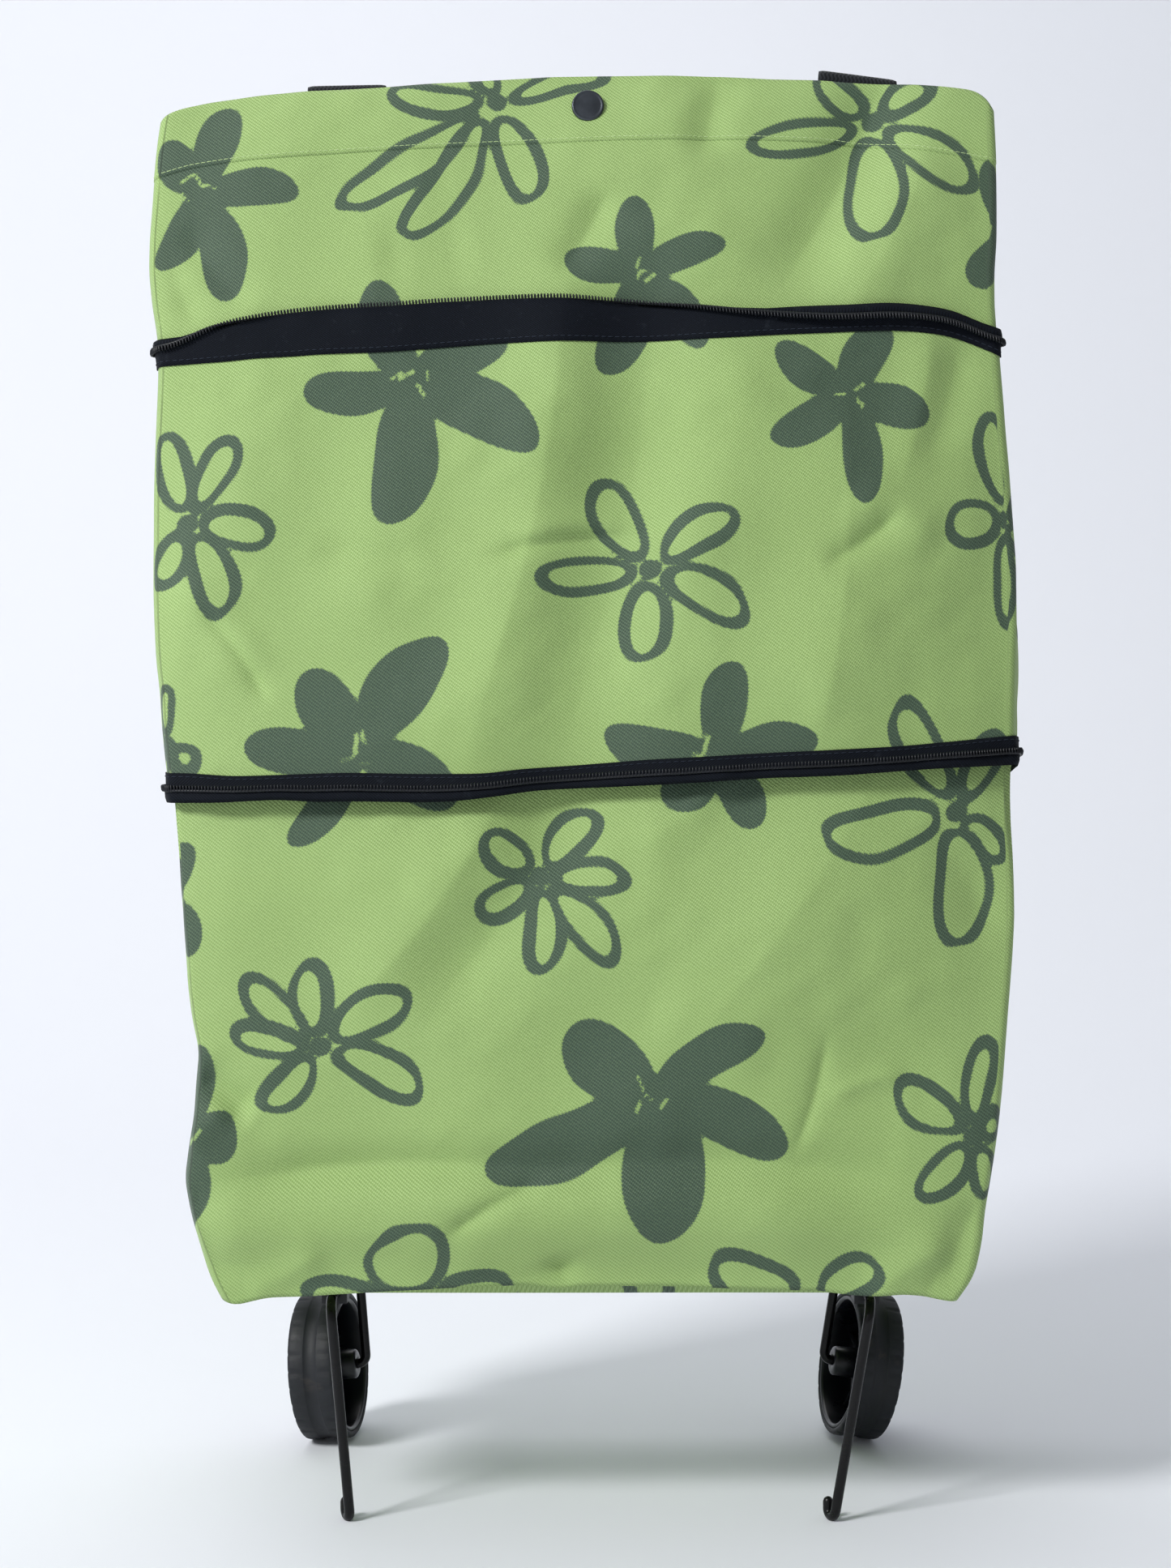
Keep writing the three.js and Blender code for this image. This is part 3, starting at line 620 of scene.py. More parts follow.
LZB = np.array([(-190, 314.2), (-165.4, 314.5), (-137.4, 316.0), (-126.6, 314.8), (-108.6, 315.2), (-77.4, 314.8), (-62.3, 315.2),
                (-44.4, 317.3), (-27.2, 319.8), (3.0, 321.2), (33.2, 322.7), (73.5, 325.2), (105.5, 326.2), (137.6, 328.4), (153.8, 329.4), (188, 330.6)])
UZ = np.array([(-200, 511.4), (-180.3, 512.5), (-165.6, 513.3), (-153.1, 514.6), (-134.7, 515.4), (-123.6, 516.3), (-94.1, 517.2), (-64.7, 519.7),
               (-48.1, 521.0), (-14.5, 522.1), (10.6, 522.5), (35.7, 523.3), (60.8, 524.2), (79.3, 525.5), (110.0, 527.0), (137.3, 528.3),
               (155.8, 527.0), (167.2, 524.6), (174.5, 521.6), (184.3, 517.2), (188, 516.0)])
UZT = np.array([(-200, 521.5), (-186.5, 523.8), (-175.5, 526.7), (-160.8, 529.7), (-146.1, 532.3), (-131.3, 534.4), (-116.5, 535.7),
                (-94.4, 536.7), (-64.8, 539.0), (-39.7, 540.2), (-14.5, 540.7), (2.1, 539.7), (27.3, 538.2), (44.3, 537.3), (60.9, 536.7),
                (79.4, 536.7), (117.5, 536.8), (129.0, 538.0), (142.7, 538.0), (163.3, 535.7), (171.0, 532.2), (182.4, 528.0), (188, 526.5)])
HEML = np.array([(-203, 597.5), (-198.0, 598.9), (-186.5, 602.6), (-161.6, 606.0), (-105, 609.8), (-48.6, 613.0), (8.2, 615.4), (60, 616.2), (108.3, 615.6), (150, 611.8), (182.8, 606.8), (190, 606.0)])


def curve(table):
    def f(x):
        return np.interp(x, table[:, 0], table[:, 1])
    return f


z_lz, z_lzb, z_uz, z_uzt, z_hem = curve(LZ), curve(LZB), curve(UZ), curve(UZT), curve(HEML)
z_bot_f, z_top_f = curve(BOT), curve(TOPL)


def smooth_curve(f, w=6.0):
    """The same line with its corners eased."""
    ks = np.linspace(-w, w, 9)
    return lambda x: np.mean([f(np.asarray(x) + k) for k in ks], axis=0)


z_lz, z_lzb, z_uz, z_uzt, z_hem = (smooth_curve(f) for f in (z_lz, z_lzb, z_uz, z_uzt, z_hem))
z_bot_f, z_top_f = smooth_curve(z_bot_f, 3.0), smooth_curve(z_top_f, 3.0)
x_left = smooth_curve(lambda z: np.interp(z, OUT[:, 0], OUT[:, 1]) - 1.3, 4.5)
x_right = smooth_curve(lambda z: np.interp(z, OUT[:, 0], OUT[:, 2]) + 1.0, 4.5)
LEAN = 105.0 / 545.0
Y_BACK = 85.0


def y_front(z):
    return -85.0 + (z - 102.0) * LEAN


def pleat(z):
    """How far the side pleats fold in."""
    t = np.clip((z - 400.0) / 247.0, 0, 1.2)
    return 44.0 * t ** 1.15


rng = np.random.default_rng(20240611)
_waves = [(rng.uniform(0, 2 * math.pi), rng.uniform(55, 150), rng.uniform(0, 2 * math.pi), rng.uniform(0.35, 1.0)) for _ in range(26)]
_crinkles = [(rng.uniform(0, 2 * math.pi), rng.uniform(14, 34), rng.uniform(0, 2 * math.pi), rng.uniform(0.4, 1.0)) for _ in range(30)]


def undulation(s, z, seed=0.0):
    total = np.zeros(np.broadcast(s, z).shape)
    for a, length, ph, amp in _waves:
        total = total + amp * np.sin((s * math.cos(a) + z * math.sin(a)) * 2 * math.pi / length + ph + seed)
    fine = np.zeros_like(total)
    for a, length, ph, amp in _crinkles:
        fine = fine + amp * np.sin((s * math.cos(a) + z * math.sin(a)) * 2 * math.pi / length + ph + seed * 1.7)
    return 0.40 * total + 0.065 * fine * (0.5 + 0.5 * np.tanh(total))


# folds of the front cloth: ends (x, z), half width, height (out is +), and how
# sharp: 0 a soft roll, 1 a crease.
FOLDS = [
    ((131, 640), (90, 556), 17, -4.4, 0.25), ((152, 612), (118, 540), 17, 2.4, 0.2), ((-14, 540), (-52, 352), 21, 3.2, 0.3),
    ((26, 540), (-10, 352), 25, -4.0, 0.1), ((72, 520), (38, 410), 26, 2.2, 0.1),
    ((-44, 312), (-100, 232), 20, 3.6, 0.35), ((-12, 312), (-66, 232), 22, -3.4, 0.2), ((126, 332), (50, 222), 30, 3.2, 0.35), ((112, 476), (100, 352), 34, 4.4, 0.4),
    ((-150, 153), (-20, 157), 9, -3.4, 0.4), ((-20, 157), (112, 155), 11, -3.0, 0.3), ((-150, 132), (120, 134), 16, 2.6, 0.0),
    ((-62, 131), (-26, 151), 5.0, -2.2, 0.8), ((-172, 397), (-147, 363), 5.5, -2.4, 0.8), ((-184, 410), (-150, 372), 9, 1.8, 0.3),
    ((133, 441), (105, 421), 6.5, -2.4, 0.7), ((118, 450), (150, 432), 12, 1.8, 0.2), ((99, 210), (87, 168), 4.5, -1.4, 0.8), ((103, 189), (130, 197), 5, 1.2, 0.7),
    ((56, 646), (49, 612), 11, -2.4, 0.2), ((152, 524), (138, 463), 13, 2.2, 0.35), ((164, 516), (150, 470), 10, -1.6, 0.2),
    ((-42, 424), (8, 431), 4.5, -2.2, 0.7), ((-30, 432), (14, 437), 8, 1.4, 0.3), ((4, 588), (-14, 556), 9, -2.2, 0.4), ((-17, 118), (-12, 103), 7, -2.4, 0.5),
    ((-183, 531), (-197, 570), 8, -1.8, 0.3), ((-160, 540), (-186, 570), 9, -1.8, 0.3), ((-120, 424), (-80, 418), 9, -1.2, 0.3),
    ((-96, 560), (-60, 566), 18, -1.2, 0.1), ((-170, 196), (-150, 182), 9, -3.0, 0.5), ((-176, 168), (-160, 182), 10, 2.4, 0.3),
    ((176, 262), (150, 300), 12, -1.4, 0.2), ((-120, 120), (-150, 104), 9, 2.0, 0.3), ((120, 104), (150, 124), 10, 2.2, 0.3), ((150, 104), (164, 140), 8, -1.6, 0.3),
    ((-160, 104), (-172, 150), 8, -1.6, 0.4), ((60, 330), (20, 296), 9, 1.2, 0.3), ((30, 224), (70, 206), 16, 1.4, 0.2), ((-96, 480), (-104, 400), 20, 1.2, 0.1),
]


def front_relief(x, z):
    total = undulation(x, z)
    for (x0, z0), (x1, z1), w, amp, sharp in FOLDS:
        dx, dz = x1 - x0, z1 - z0
        L = math.hypot(dx, dz)
        t = ((x - x0) * dx + (z - z0) * dz) / (L * L)
        d = ((x - x0) * dz - (z - z0) * dx) / L
        bend = 0.10 * L * np.sin(np.clip(t, 0, 1) * math.pi)
        d = np.abs(d + 0.35 * bend)
        along = smooth01((t + 0.22) / 0.42) * smooth01((1.22 - t) / 0.42)
        soft = np.exp(-(d / w) ** 2)
        crease = np.exp(-d / (w * 0.75))
        total = total + 1.7 * amp * along * ((1 - sharp) * soft + sharp * crease)
    return total


def relief_out(side, s, x, z):
    """Outward swell in mm of each wall: front, right, back, left."""
    if side == 0:
        xn = np.clip((x + 8) / 192.0, -1, 1)
        zn = np.clip((z - 104) / 540.0, 0, 1)
        right = 23.0 * (1 - np.abs(xn) ** 2.7)
        left = 23.0 - 3.0 * smooth01(np.abs(xn)) - 9.0 * np.abs(xn) ** 9
        swell = np.where(xn > 0, right, left)
        swell = swell * (0.12 + 0.88 * np.sin(np.clip(0.04 + zn * 0.96, 0, 1) * math.pi) ** 0.75) * smooth01((z - 97.0) / 36.0)
        edge = smooth01((1 - np.abs(xn)) / 0.10)
        folds = front_relief(x, z)
        folds = np.where(folds < 0, folds * smooth01((z - 103.0) / 16.0), folds)
        return folds * (0.3 + 0.7 * edge) + swell
    if side == 2:
        return 0.35 * undulation(s + 400, z, 2.0) - 0.8
    return 1.1 * undulation(s + 900 * side, z, side * 1.3)


N_FRONT, N_SIDE, N_BACK, N_ARC = 250, 46, 110, 7


def make_columns():
    """Per column: wall, position along it from 0 to 1, and arc angle 0 to 1."""
    cols = []
    for i in range(N_FRONT):
        cols.append((0, i / (N_FRONT - 1)))
    cols += [(10, (i + 1) / (N_ARC + 1)) for i in range(N_ARC)]
    cols += [(1, i / (N_SIDE - 1)) for i in range(N_SIDE)]
    cols += [(11, (i + 1) / (N_ARC + 1)) for i in range(N_ARC)]
    cols += [(2, i / (N_BACK - 1)) for i in range(N_BACK)]
    cols += [(12, (i + 1) / (N_ARC + 1)) for i in range(N_ARC)]
    cols += [(3, i / (N_SIDE - 1)) for i in range(N_SIDE)]
    cols += [(13, (i + 1) / (N_ARC + 1)) for i in range(N_ARC)]
    return cols


COLS = make_columns()
CW = np.array([c[0] for c in COLS])
CT = np.array([c[1] for c in COLS])
NC = len(COLS)


def column_x():
    """The front x that stands for each column when a height line is looked up."""
    x = np.zeros(NC)
    x[CW == 0] = lerp(-196, 188, CT[CW == 0])
    x[(CW == 10) | (CW == 1) | (CW == 11)] = 190
    x[CW == 2] = lerp(188, -196, CT[CW == 2])
    x[(CW == 12) | (CW == 3) | (CW == 13)] = -202
    return x


COLX = column_x()
# share of the front's height lines against the back's level ones
FRONT_SHARE = np.where(CW == 0, 1.0, np.where(CW == 10, 1.0, np.where(CW == 13, 1.0, 0.0)))
FRONT_SHARE = np.where(CW == 1, 1 - smooth01(CT), FRONT_SHARE)
FRONT_SHARE = np.where(CW == 3, smooth01(CT), FRONT_SHARE)


R_CORNER = 4.5


def columns_x_at(z):
    """Where each column really stands in x at its height z."""
    xl, xr = x_left(z), x_right(z)
    x = np.where(CW == 0, lerp(xl + R_CORNER, xr - R_CORNER, CT), 0.0)
    x = np.where(CW == 10, xr - R_CORNER + R_CORNER * np.sin(CT * math.pi / 2), x)
    x = np.where(CW == 13, xl + R_CORNER - R_CORNER * np.cos(CT * math.pi / 2), x)
    x = np.where((CW == 1) | (CW == 11), xr, x)
    x = np.where((CW == 3) | (CW == 12), xl, x)
    return np.where(CW == 2, lerp(xr - R_CORNER, xl + R_CORNER, CT), x)


def line_on_columns(front_f, back_level):
    z = np.full(NC, float(front_f(0.0)))
    for _ in range(6):
        z = front_f(columns_x_at(z))
    return z * FRONT_SHARE + back_level * (1 - FRONT_SHARE)


def bag_points(Z, out=0.0, radius=R_CORNER):
    """Z: rows x NC heights. Returns points, rows x NC x 3, `out` mm outside the cloth."""
    rows = Z.shape[0]
    out = np.broadcast_to(np.asarray(out, float), Z.shape)
    P = np.zeros((rows, NC, 3))
    P[..., 2] = Z
    xl, xr = x_left(Z), x_right(Z)
    yf, yb = y_front(Z), np.full_like(Z, Y_BACK)
    r = radius
    g = pleat(Z)
    # front
    m = CW == 0
    x = lerp(xl[:, m] + r, xr[:, m] - r, CT[m])
    P[:, m, 0] = x
    P[:, m, 1] = yf[:, m] - relief_out(0, x, x, Z[:, m]) - out[:, m]
    # right and left walls with their pleats
    for wall, xs, sgn in ((1, xr, 1.0), (3, xl, -1.0)):
        m = CW == wall
        t = CT[m] if wall == 1 else 1 - CT[m]
        y = lerp(yf[:, m] + r, yb[:, m] - r, t)
        v = np.sqrt((2 * t - 1) ** 2 + 0.0016)
        fold = g[:, m] * np.clip(1 - v, 0, 1)
        ends = smooth01(np.minimum(t, 1 - t) / 0.16)
        swell = (3.0 * np.sin(t * math.pi) + relief_out(wall, y, xs[:, m], Z[:, m])) * ends
        swell = swell * (1 - 0.6 * smooth01((Z[:, m] - 380) / 160))
        P[:, m, 0] = xs[:, m] + sgn * (out[:, m] + swell - fold)
        P[:, m, 1] = y
    # back
    m = CW == 2
    x = lerp(xr[:, m] - r, xl[:, m] + r, CT[m])
    P[:, m, 0] = x
    nb = smooth01(np.minimum(CT[m], 1 - CT[m]) / 0.06)
    P[:, m, 1] = yb[:, m] + relief_out(2, x, x, Z[:, m]) * nb + out[:, m]
    # corner arcs
    fl = relief_out(0, xl[:, :1], xl[:, :1] + r, Z[:, :1])
    fr = relief_out(0, xr[:, :1], xr[:, :1] - r, Z[:, :1])
    def relief_at(xs, sgn):
        return relief_out(0, None, xs - sgn * r, Z)
    ro = r + out
    for code, cx_, cy_, a0 in ((10, xr - r, yf + r, -90), (11, xr - r, yb - r, 0), (12, xl + r, yb - r, 90), (13, xl + r, yf + r, 180)):
        m = CW == code
        a = np.radians(a0 + 90 * CT[m])
        P[:, m, 0] = cx_[:, m] + ro[:, m] * np.cos(a)
        P[:, m, 1] = cy_[:, m] + ro[:, m] * np.sin(a)
        if code == 10:
            P[:, m, 1] -= relief_at(xr, 1)[:, m] * (1 - smooth01(CT[m]))
        if code == 13:
            P[:, m, 1] -= relief_at(xl, -1)[:, m] * smooth01(CT[m])
    return P


def grid_normals(P):
    du = np.roll(P, -1, 1) - np.roll(P, 1, 1)
    dv = np.gradient(P, axis=0)
    n = np.cross(du, dv)
    n /= np.maximum(np.linalg.norm(n, axis=2), 1e-9)[..., None]
    return n


# --------------------------------------------------------------- the print
# two kinds of loose hand-drawn flower, as centre and petal tips with widths
FLOWERS = [
    ('s', -180.6, 590.3, [(14.0, 41.7, 19.4), (45.4, 1.1, 18.0), (14.8, -50.0, 21.6), (-17.8, -36.0, 16.6), (-18.2, 25.0, 18.0)]),
    ('s', 20.3, 553.2, [(-2.5, 35.1, 18.7), (-34.5, 7.6, 16.6), (38.3, 13.3, 15.8), (-15.6, -48.4, 21.6), (28.7, -36.3, 18.0)]),
    ('s', -83.6, 501.1, [(-17.2, 47.5, 22.3), (-47.8, -4.5, 20.2), (-7.4, -64.7, 28.8), (58.2, -28.1, 26.6), (44.0, 20.3, 21.6)]),
    ('s', 113.2, 495.8, [(17.1, 33.1, 20.2), (-32.1, 24.1, 17.3), (36.5, -10.5, 20.2), (6.2, -49.5, 18.7), (-35.6, -20.5, 18.0)]),
    ('s', -103.9, 337.0, [(-22.9, 35.0, 25.9), (37.0, 48.1, 27.4), (-50.5, 2.5, 20.2), (43.4, -22.5, 23.8), (-29.9, -41.8, 16.6)]),
    ('s', 52.7, 333.4, [(8.7, 43.3, 20.2), (-49.3, 10.8, 20.2), (43.7, 8.3, 18.0), (17.0, -29.6, 18.7), (-22.4, -20.4, 20.2)]),
    ('s', 25.5, 189.2, [(-38.2, 28.7, 28.8), (46.1, 27.7, 20.2), (-72.2, -33.3, 27.4), (56.8, -25.1, 23.8), (1.1, -62.3, 36.0)]),
    ('s', -189.1, 272.2, [(10.9, 23.7, 16.6), (13.8, -24.9, 16.6), (-24, 18, 18), (-26, -20, 18)]),
    ('s', -174.5, 170.3, [(20.5, -0.7, 23.0), (3.8, 40.3, 18.0), (-6.0, -40.0, 19.0), (-36, 20, 20), (-30, -26, 20)]),
    ('s', 191.3, 574.2, [(-20.6, -25.6, 18.0), (-9.6, 34.2, 16.6), (32, 20, 18), (24, -34, 18)]),
    ('o', -46.1, 633.9, [(-73.0, -49.4, 20.9), (-41.2, -65.5, 21.6), (16.3, -48.6, 22.3), (52.5, 14.8, 15.8), (-51.0, 4.7, 17.3), (-7.6, 23.4, 14.4)]),
    ('o', 128.3, 626.1, [(-59.2, -12.3, 18.7), (-4.0, -59.2, 29.5), (46.0, -33.9, 23.8), (27.3, 19.5, 18.0), (-27.4, 24.1, 17.3)]),
    ('o', -180.8, 437.1, [(-12.0, 43.0, 18.0), (21.1, 38.9, 18.7), (39.2, -5.2, 20.9), (16.6, -42.6, 21.6), (-16.8, -27.9, 18.7)]),
    ('o', 23.5, 416.9, [(-22.5, 40.2, 23.0), (39.9, 26.1, 18.0), (-50.9, -2.6, 18.0), (44.2, -23.1, 21.6), (-5.6, -41.3, 22.3)]),
    ('o', 185.7, 440.8, [(-7.6, 49.0, 17.3), (-30.0, -3.7, 22.3), (-2.0, -49.9, 18.7), (38, 14, 20), (34, -26, 18)]),
    ('o', 159.4, 310.2, [(-24.9, 49.5, 22.3), (-61.1, -11.4, 25.9), (-1.3, -59.4, 28.1), (21.7, 34.0, 18.0), (21.0, -23.5, 15.8)]),
    ('o', -24.2, 281.8, [(-25.1, 20.5, 17.3), (24.0, 29.1, 19.4), (39.7, -1.8, 18.0), (33.2, -38.1, 19.4), (0.1, -42.3, 18.0), (-29.2, -14.9, 17.3)]),
    ('o', -118.8, 209.9, [(-35.0, 29.6, 18.7), (-6.0, 37.4, 19.4), (39.0, 22.7, 21.6), (44.0, -21.4, 20.2), (-26.1, -28.0, 17.3), (-39.1, 5.9, 15.8)]),
    ('o', 163.4, 170.3, [(-34.1, 24.8, 20.2), (7.7, 42.4, 16.6), (-25.2, -26.4, 18.0), (17.1, 7.5, 15.8), (7.1, -27.4, 15.8)]),
    ('o', -188.6, 339.5, [(-0.7, 27.1, 12.2), (13.2, -11.5, 14.4), (-26, 4, 16), (-16, -22, 14)]),
    ('o', -75.3, 98.2, [(-8.5, 36.6, 37.0), (-51.7, 7.4, 20.2), (41.8, 6.8, 20.2)]),
    ('o', 91.3, 100.6, [(-43.0, 18.0, 25.0), (31.7, 14.5, 20.9), (0.4, -25.2, 18.0)]),
]


def more_flowers():
    """The same two kinds carried on round the sides and back, along the cloth."""
    r = np.random.default_rng(77)
    spots, out = [], []
    tries = 0
    while len(spots) < 62 and tries < 9000:
        tries += 1
        s, z = r.uniform(-460, 800), r.uniform(100, 655)
        if -232 < s < 228:
            continue
        if all((s - a) ** 2 + (z - b) ** 2 > 88 ** 2 for a, b in spots):
            spots.append((s, z))
    for i, (s, z) in enumerate(spots):
        kind = 's' if i % 2 else 'o'
        n = 5 if r.random() < 0.75 else 6
        a0 = r.uniform(0, 2 * math.pi)
        big = r.uniform(34, 56)
        L = []
        for k in range(n):
            a = a0 + 2 * math.pi * k / n + r.uniform(-0.16, 0.16)
            d = big * r.uniform(0.8, 1.2)
            L.append((d * math.cos(a), d * math.sin(a), r.uniform(17, 25)))
        out.append((kind, s, z, L))
    return out


FLOWERS_ALL = FLOWERS + more_flowers()


def petal_distance(px, pz, tx, tz, width):
    """Signed distance, about, to an egg from the centre to the tip, widest past its middle."""
    L = math.hypot(tx, tz)
    ux, uz = tx / L, tz / L
    a = px * ux + pz * uz
    b = -px * uz + pz * ux
    t = a / L
    b = b - 0.05 * L * np.sin(np.clip(t, 0, 1) * math.pi)
    half = 0.5 * width
    c = 0.57
    prof = np.where(t < c, np.sin(np.clip(t / c, 0, 1) * math.pi / 2) ** 0.75, np.sqrt(np.clip(1 - ((t - c) / (1 - c)) ** 2, 0, 1)))
    # an ellipse whose near half is drawn out towards the centre
    ax = np.where(a < c * L, c * L, (1 - c) * L)
    q = np.sqrt(((a - c * L) / ax) ** 2 + (b / half) ** 2)
    grad = np.sqrt(((a - c * L) / ax ** 2) ** 2 + (b / half ** 2) ** 2) / np.maximum(q, 1e-6)
    return (q - 1) / np.maximum(grad, 1e-6)


def print_field(s, z):
    """Distance in mm to the printed shapes, negative inside."""
    s, z = np.asarray(s, float), np.asarray(z, float)
    field = np.full(s.shape, 50.0)
    rr = np.random.default_rng(5)
    for kind, cx, cz, petals in FLOWERS_ALL:
        reach = max(math.hypot(p[0], p[1]) for p in petals) + 14
        near = (np.abs(s - cx) < reach) & (np.abs(z - cz) < reach)
        jitter = [(rr.uniform(-1, 1), rr.uniform(-1, 1), rr.uniform(0, 6.28), rr.uniform(0.6, 1.0)) for _ in range(8)]
        if not near.any():
            continue
        px, pz = s[near] - cx, z[near] - cz
        # an unsteady hand
        wob_x = 0.8 * np.sin(pz / 7.0 + cx) + 0.5 * np.sin(px / 4.1 + cz)
        wob_z = 0.8 * np.sin(px / 6.3 + cz) + 0.5 * np.sin(pz / 3.7 + cx)
        px, pz = px + wob_x * 0.7, pz + wob_z * 0.7
        d = np.full(px.shape, 50.0)
        if kind == 's':
            for tx, tz, w in petals:
                d = np.minimum(d, petal_distance(px, pz, tx, tz, w))
            hub = np.hypot(px, pz) - 7.5
            k = 4.0
            h = np.clip(0.5 + 0.5 * (d - hub) / k, 0, 1)
            d = d * (1 - h) + hub * h - k * h * (1 - h)
            # a few scratches left bare round the middle
            for jx, jz, ja, jl in jitter[:4]:
                qx, qz = px - jx * 8.0, pz - jz * 6.5
                ca, sa = math.cos(ja), math.sin(ja)
                a, b = qx * ca + qz * sa, -qx * sa + qz * ca
                b = b + 0.6 * np.sin(a / 1.6)
                scratch = np.hypot(np.maximum(np.abs(a) - 3.4 * jl, 0), b) - 1.05 * jl
                d = np.maximum(d, -scratch)
        else:
            stroke = 2.95
            for i, (tx, tz, w) in enumerate(petals):
                # loops start a little out from the middle
                e = petal_distance(px - 0.12 * tx, pz - 0.12 * tz, tx * 0.87, tz * 0.87, w + 2.6 - 2 * stroke * 0.45)
                width_here = stroke * (0.86 + 0.22 * np.sin((px * tz - pz * tx) / 130.0 + jitter[i % 8][2]))
                ring = np.abs(e + stroke * 0.72) - width_here
                d = np.minimum(d, ring)
            hub = np.hypot(px, pz * 1.15) - 4.9
            d = np.minimum(d, hub)
        field[near] = np.minimum(field[near], d)
    return field


def cloth_coords(P):
    """Distance along the cloth from the bag's centre line, per point, for the print and weave."""
    rows = P.shape[0]
    step = np.hypot(np.diff(P[..., 0], axis=1), np.diff(P[..., 1], axis=1))
    s = np.concatenate([np.zeros((rows, 1)), np.cumsum(step, axis=1)], axis=1)
    m = CW == 0
    x0 = P[:, m, 0]
    # start so that on the front s is simply x
    mid = N_FRONT // 2
    s = s - s[:, mid:mid + 1] + x0[:, mid:mid + 1]
    s[:, m] = x0
    return s


def cloth_shell(name, Z, out, thick, fold_top=False, roll_bottom=False):
    """A closed-thickness tube of cloth between the rows of Z."""
    P = bag_points(Z, out)
    N = grid_normals(P)
    s = cloth_coords(P)
    rows = P.shape[0]
    # the left wall and its corners come before x = left: measure them backwards
    wrap = (CW == 3) | (CW == 13) | (CW == 12)
    total = s[:, -1:] + np.hypot(P[:, -1:, 0] - P[:, :1, 0], P[:, -1:, 1] - P[:, :1, 1]) - s[:, :1]
    s2 = s.copy()
    s2[:, wrap] = s[:, wrap] - total
    field = print_field(s2, Z)
    inner = P - N * thick
    if roll_bottom:
        pass
    verts = np.concatenate([P.reshape(-1, 3), inner.reshape(-1, 3)])
    n = rows * NC
    faces = grid_faces(rows, NC, True) + grid_faces(rows, NC, True, off=n, flip=True)
    for c in range(NC):
        c2 = (c + 1) % NC
        faces.append((c2, c, n + c, n + c2))
        a, b = (rows - 1) * NC + c, (rows - 1) * NC + c2
        faces.append((a, b, n + b, n + a))
    sdf = np.concatenate([field.ravel(), np.full(n, 9.0)])
    inn = np.concatenate([np.zeros(n), np.ones(n)])
    uv = np.concatenate([np.stack([s.ravel(), Z.ravel()], 1)] * 2) / 1000.0
    o = make(name, verts, faces, attrs={"print_sdf": sdf, "inner": inn}, uv=uv)
    dress(o, MAT_CLOTH)
    seam = float(np.mean(total))
    height = float(np.mean(Z[-1] - Z[0]))
    return o, P, s2, seam, height


def rows_between(lo, hi, step=2.1):
    n = max(4, int(round(np.max(hi - lo) / step)))
    t = np.linspace(0, 1, n + 1)[:, None]
    return lo[None, :] + (hi - lo)[None, :] * t


LZ_C = line_on_columns(z_lz, 326.0)
UZ_C = line_on_columns(z_uz, 520.0)
HEM_C = line_on_columns(z_hem, 613.0)
BACK_TOP = 646.0 - 12.0 * smooth01((np.abs(columns_x_at(np.full(NC, 640.0)) + 8) - 152) / 38.0)
TOP_C = line_on_columns(z_top_f, BACK_TOP)
BOT_C = line_on_columns(z_bot_f, 104.0)

# lowest storey: ends just inside the lower zip's seam
Zb = rows_between(BOT_C, LZ_C + 3.0)
drawn = smooth01((Zb - LZ_C[None, :] + 78.0) / 78.0) * np.where(CW == 2, 0.0, np.where((CW == 1) | (CW == 3), 1.0, 4.2))[None, :]
base_cloth, Pb, sb, per_b, _ = cloth_shell("base_cloth", Zb, -0.5 - drawn, 0.9)
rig.ride(base_cloth, "base")
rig.replaces(base_cloth, "base_panel_front", "base_panel_back", "base_panel_left", "base_panel_right")
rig.slot(base_cloth, "printed_cloth")

Zm = rows_between(LZ_C, UZ_C)
mid_cloth, Pm, sm, per_m, _ = cloth_shell("mid_cloth", Zm, 0.3, 0.9)
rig.ride(mid_cloth, "mid")
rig.replaces(mid_cloth, "mid_panel_front", "mid_panel_back", "mid_panel_left", "mid_panel_right")
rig.slot(mid_cloth, "printed_cloth")

Zt = rows_between(UZ_C - 3.0, HEM_C + 3.0)
top_cloth, Pt, st, per_t, _ = cloth_shell("top_cloth", Zt, -0.25, 0.9)
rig.ride(top_cloth, "mid")
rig.replaces(top_cloth, "top_panel_front", "top_panel_back", "top_panel_left", "top_panel_right")
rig.slot(top_cloth, "printed_cloth")

# hem: doubled cloth
Zh = rows_between(HEM_C, TOP_C, 1.8)
hem_cloth, Ph, sh, per_h, _ = cloth_shell("hem_cloth", Zh, 0.0, 2.0)
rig.ride(hem_cloth, "mouth")
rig.replaces(hem_cloth, "hem_front", "hem_back", "hem_left", "hem_right")
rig.slot(hem_cloth, "printed_cloth")


# the base cloth under the board, with rounded corners
def rounded_rect(x0, x1, y0, y1, r, n=8):
    pts = []
    for cx, cy, a0 in ((x1 - r, y0 + r, -90), (x1 - r, y1 - r, 0), (x0 + r, y1 - r, 90), (x0 + r, y0 + r, 180)):
        for k in range(n + 1):
            a = math.radians(a0 + 90 * k / n)
            pts.append((cx + r * math.cos(a), cy + r * math.sin(a)))
    return pts


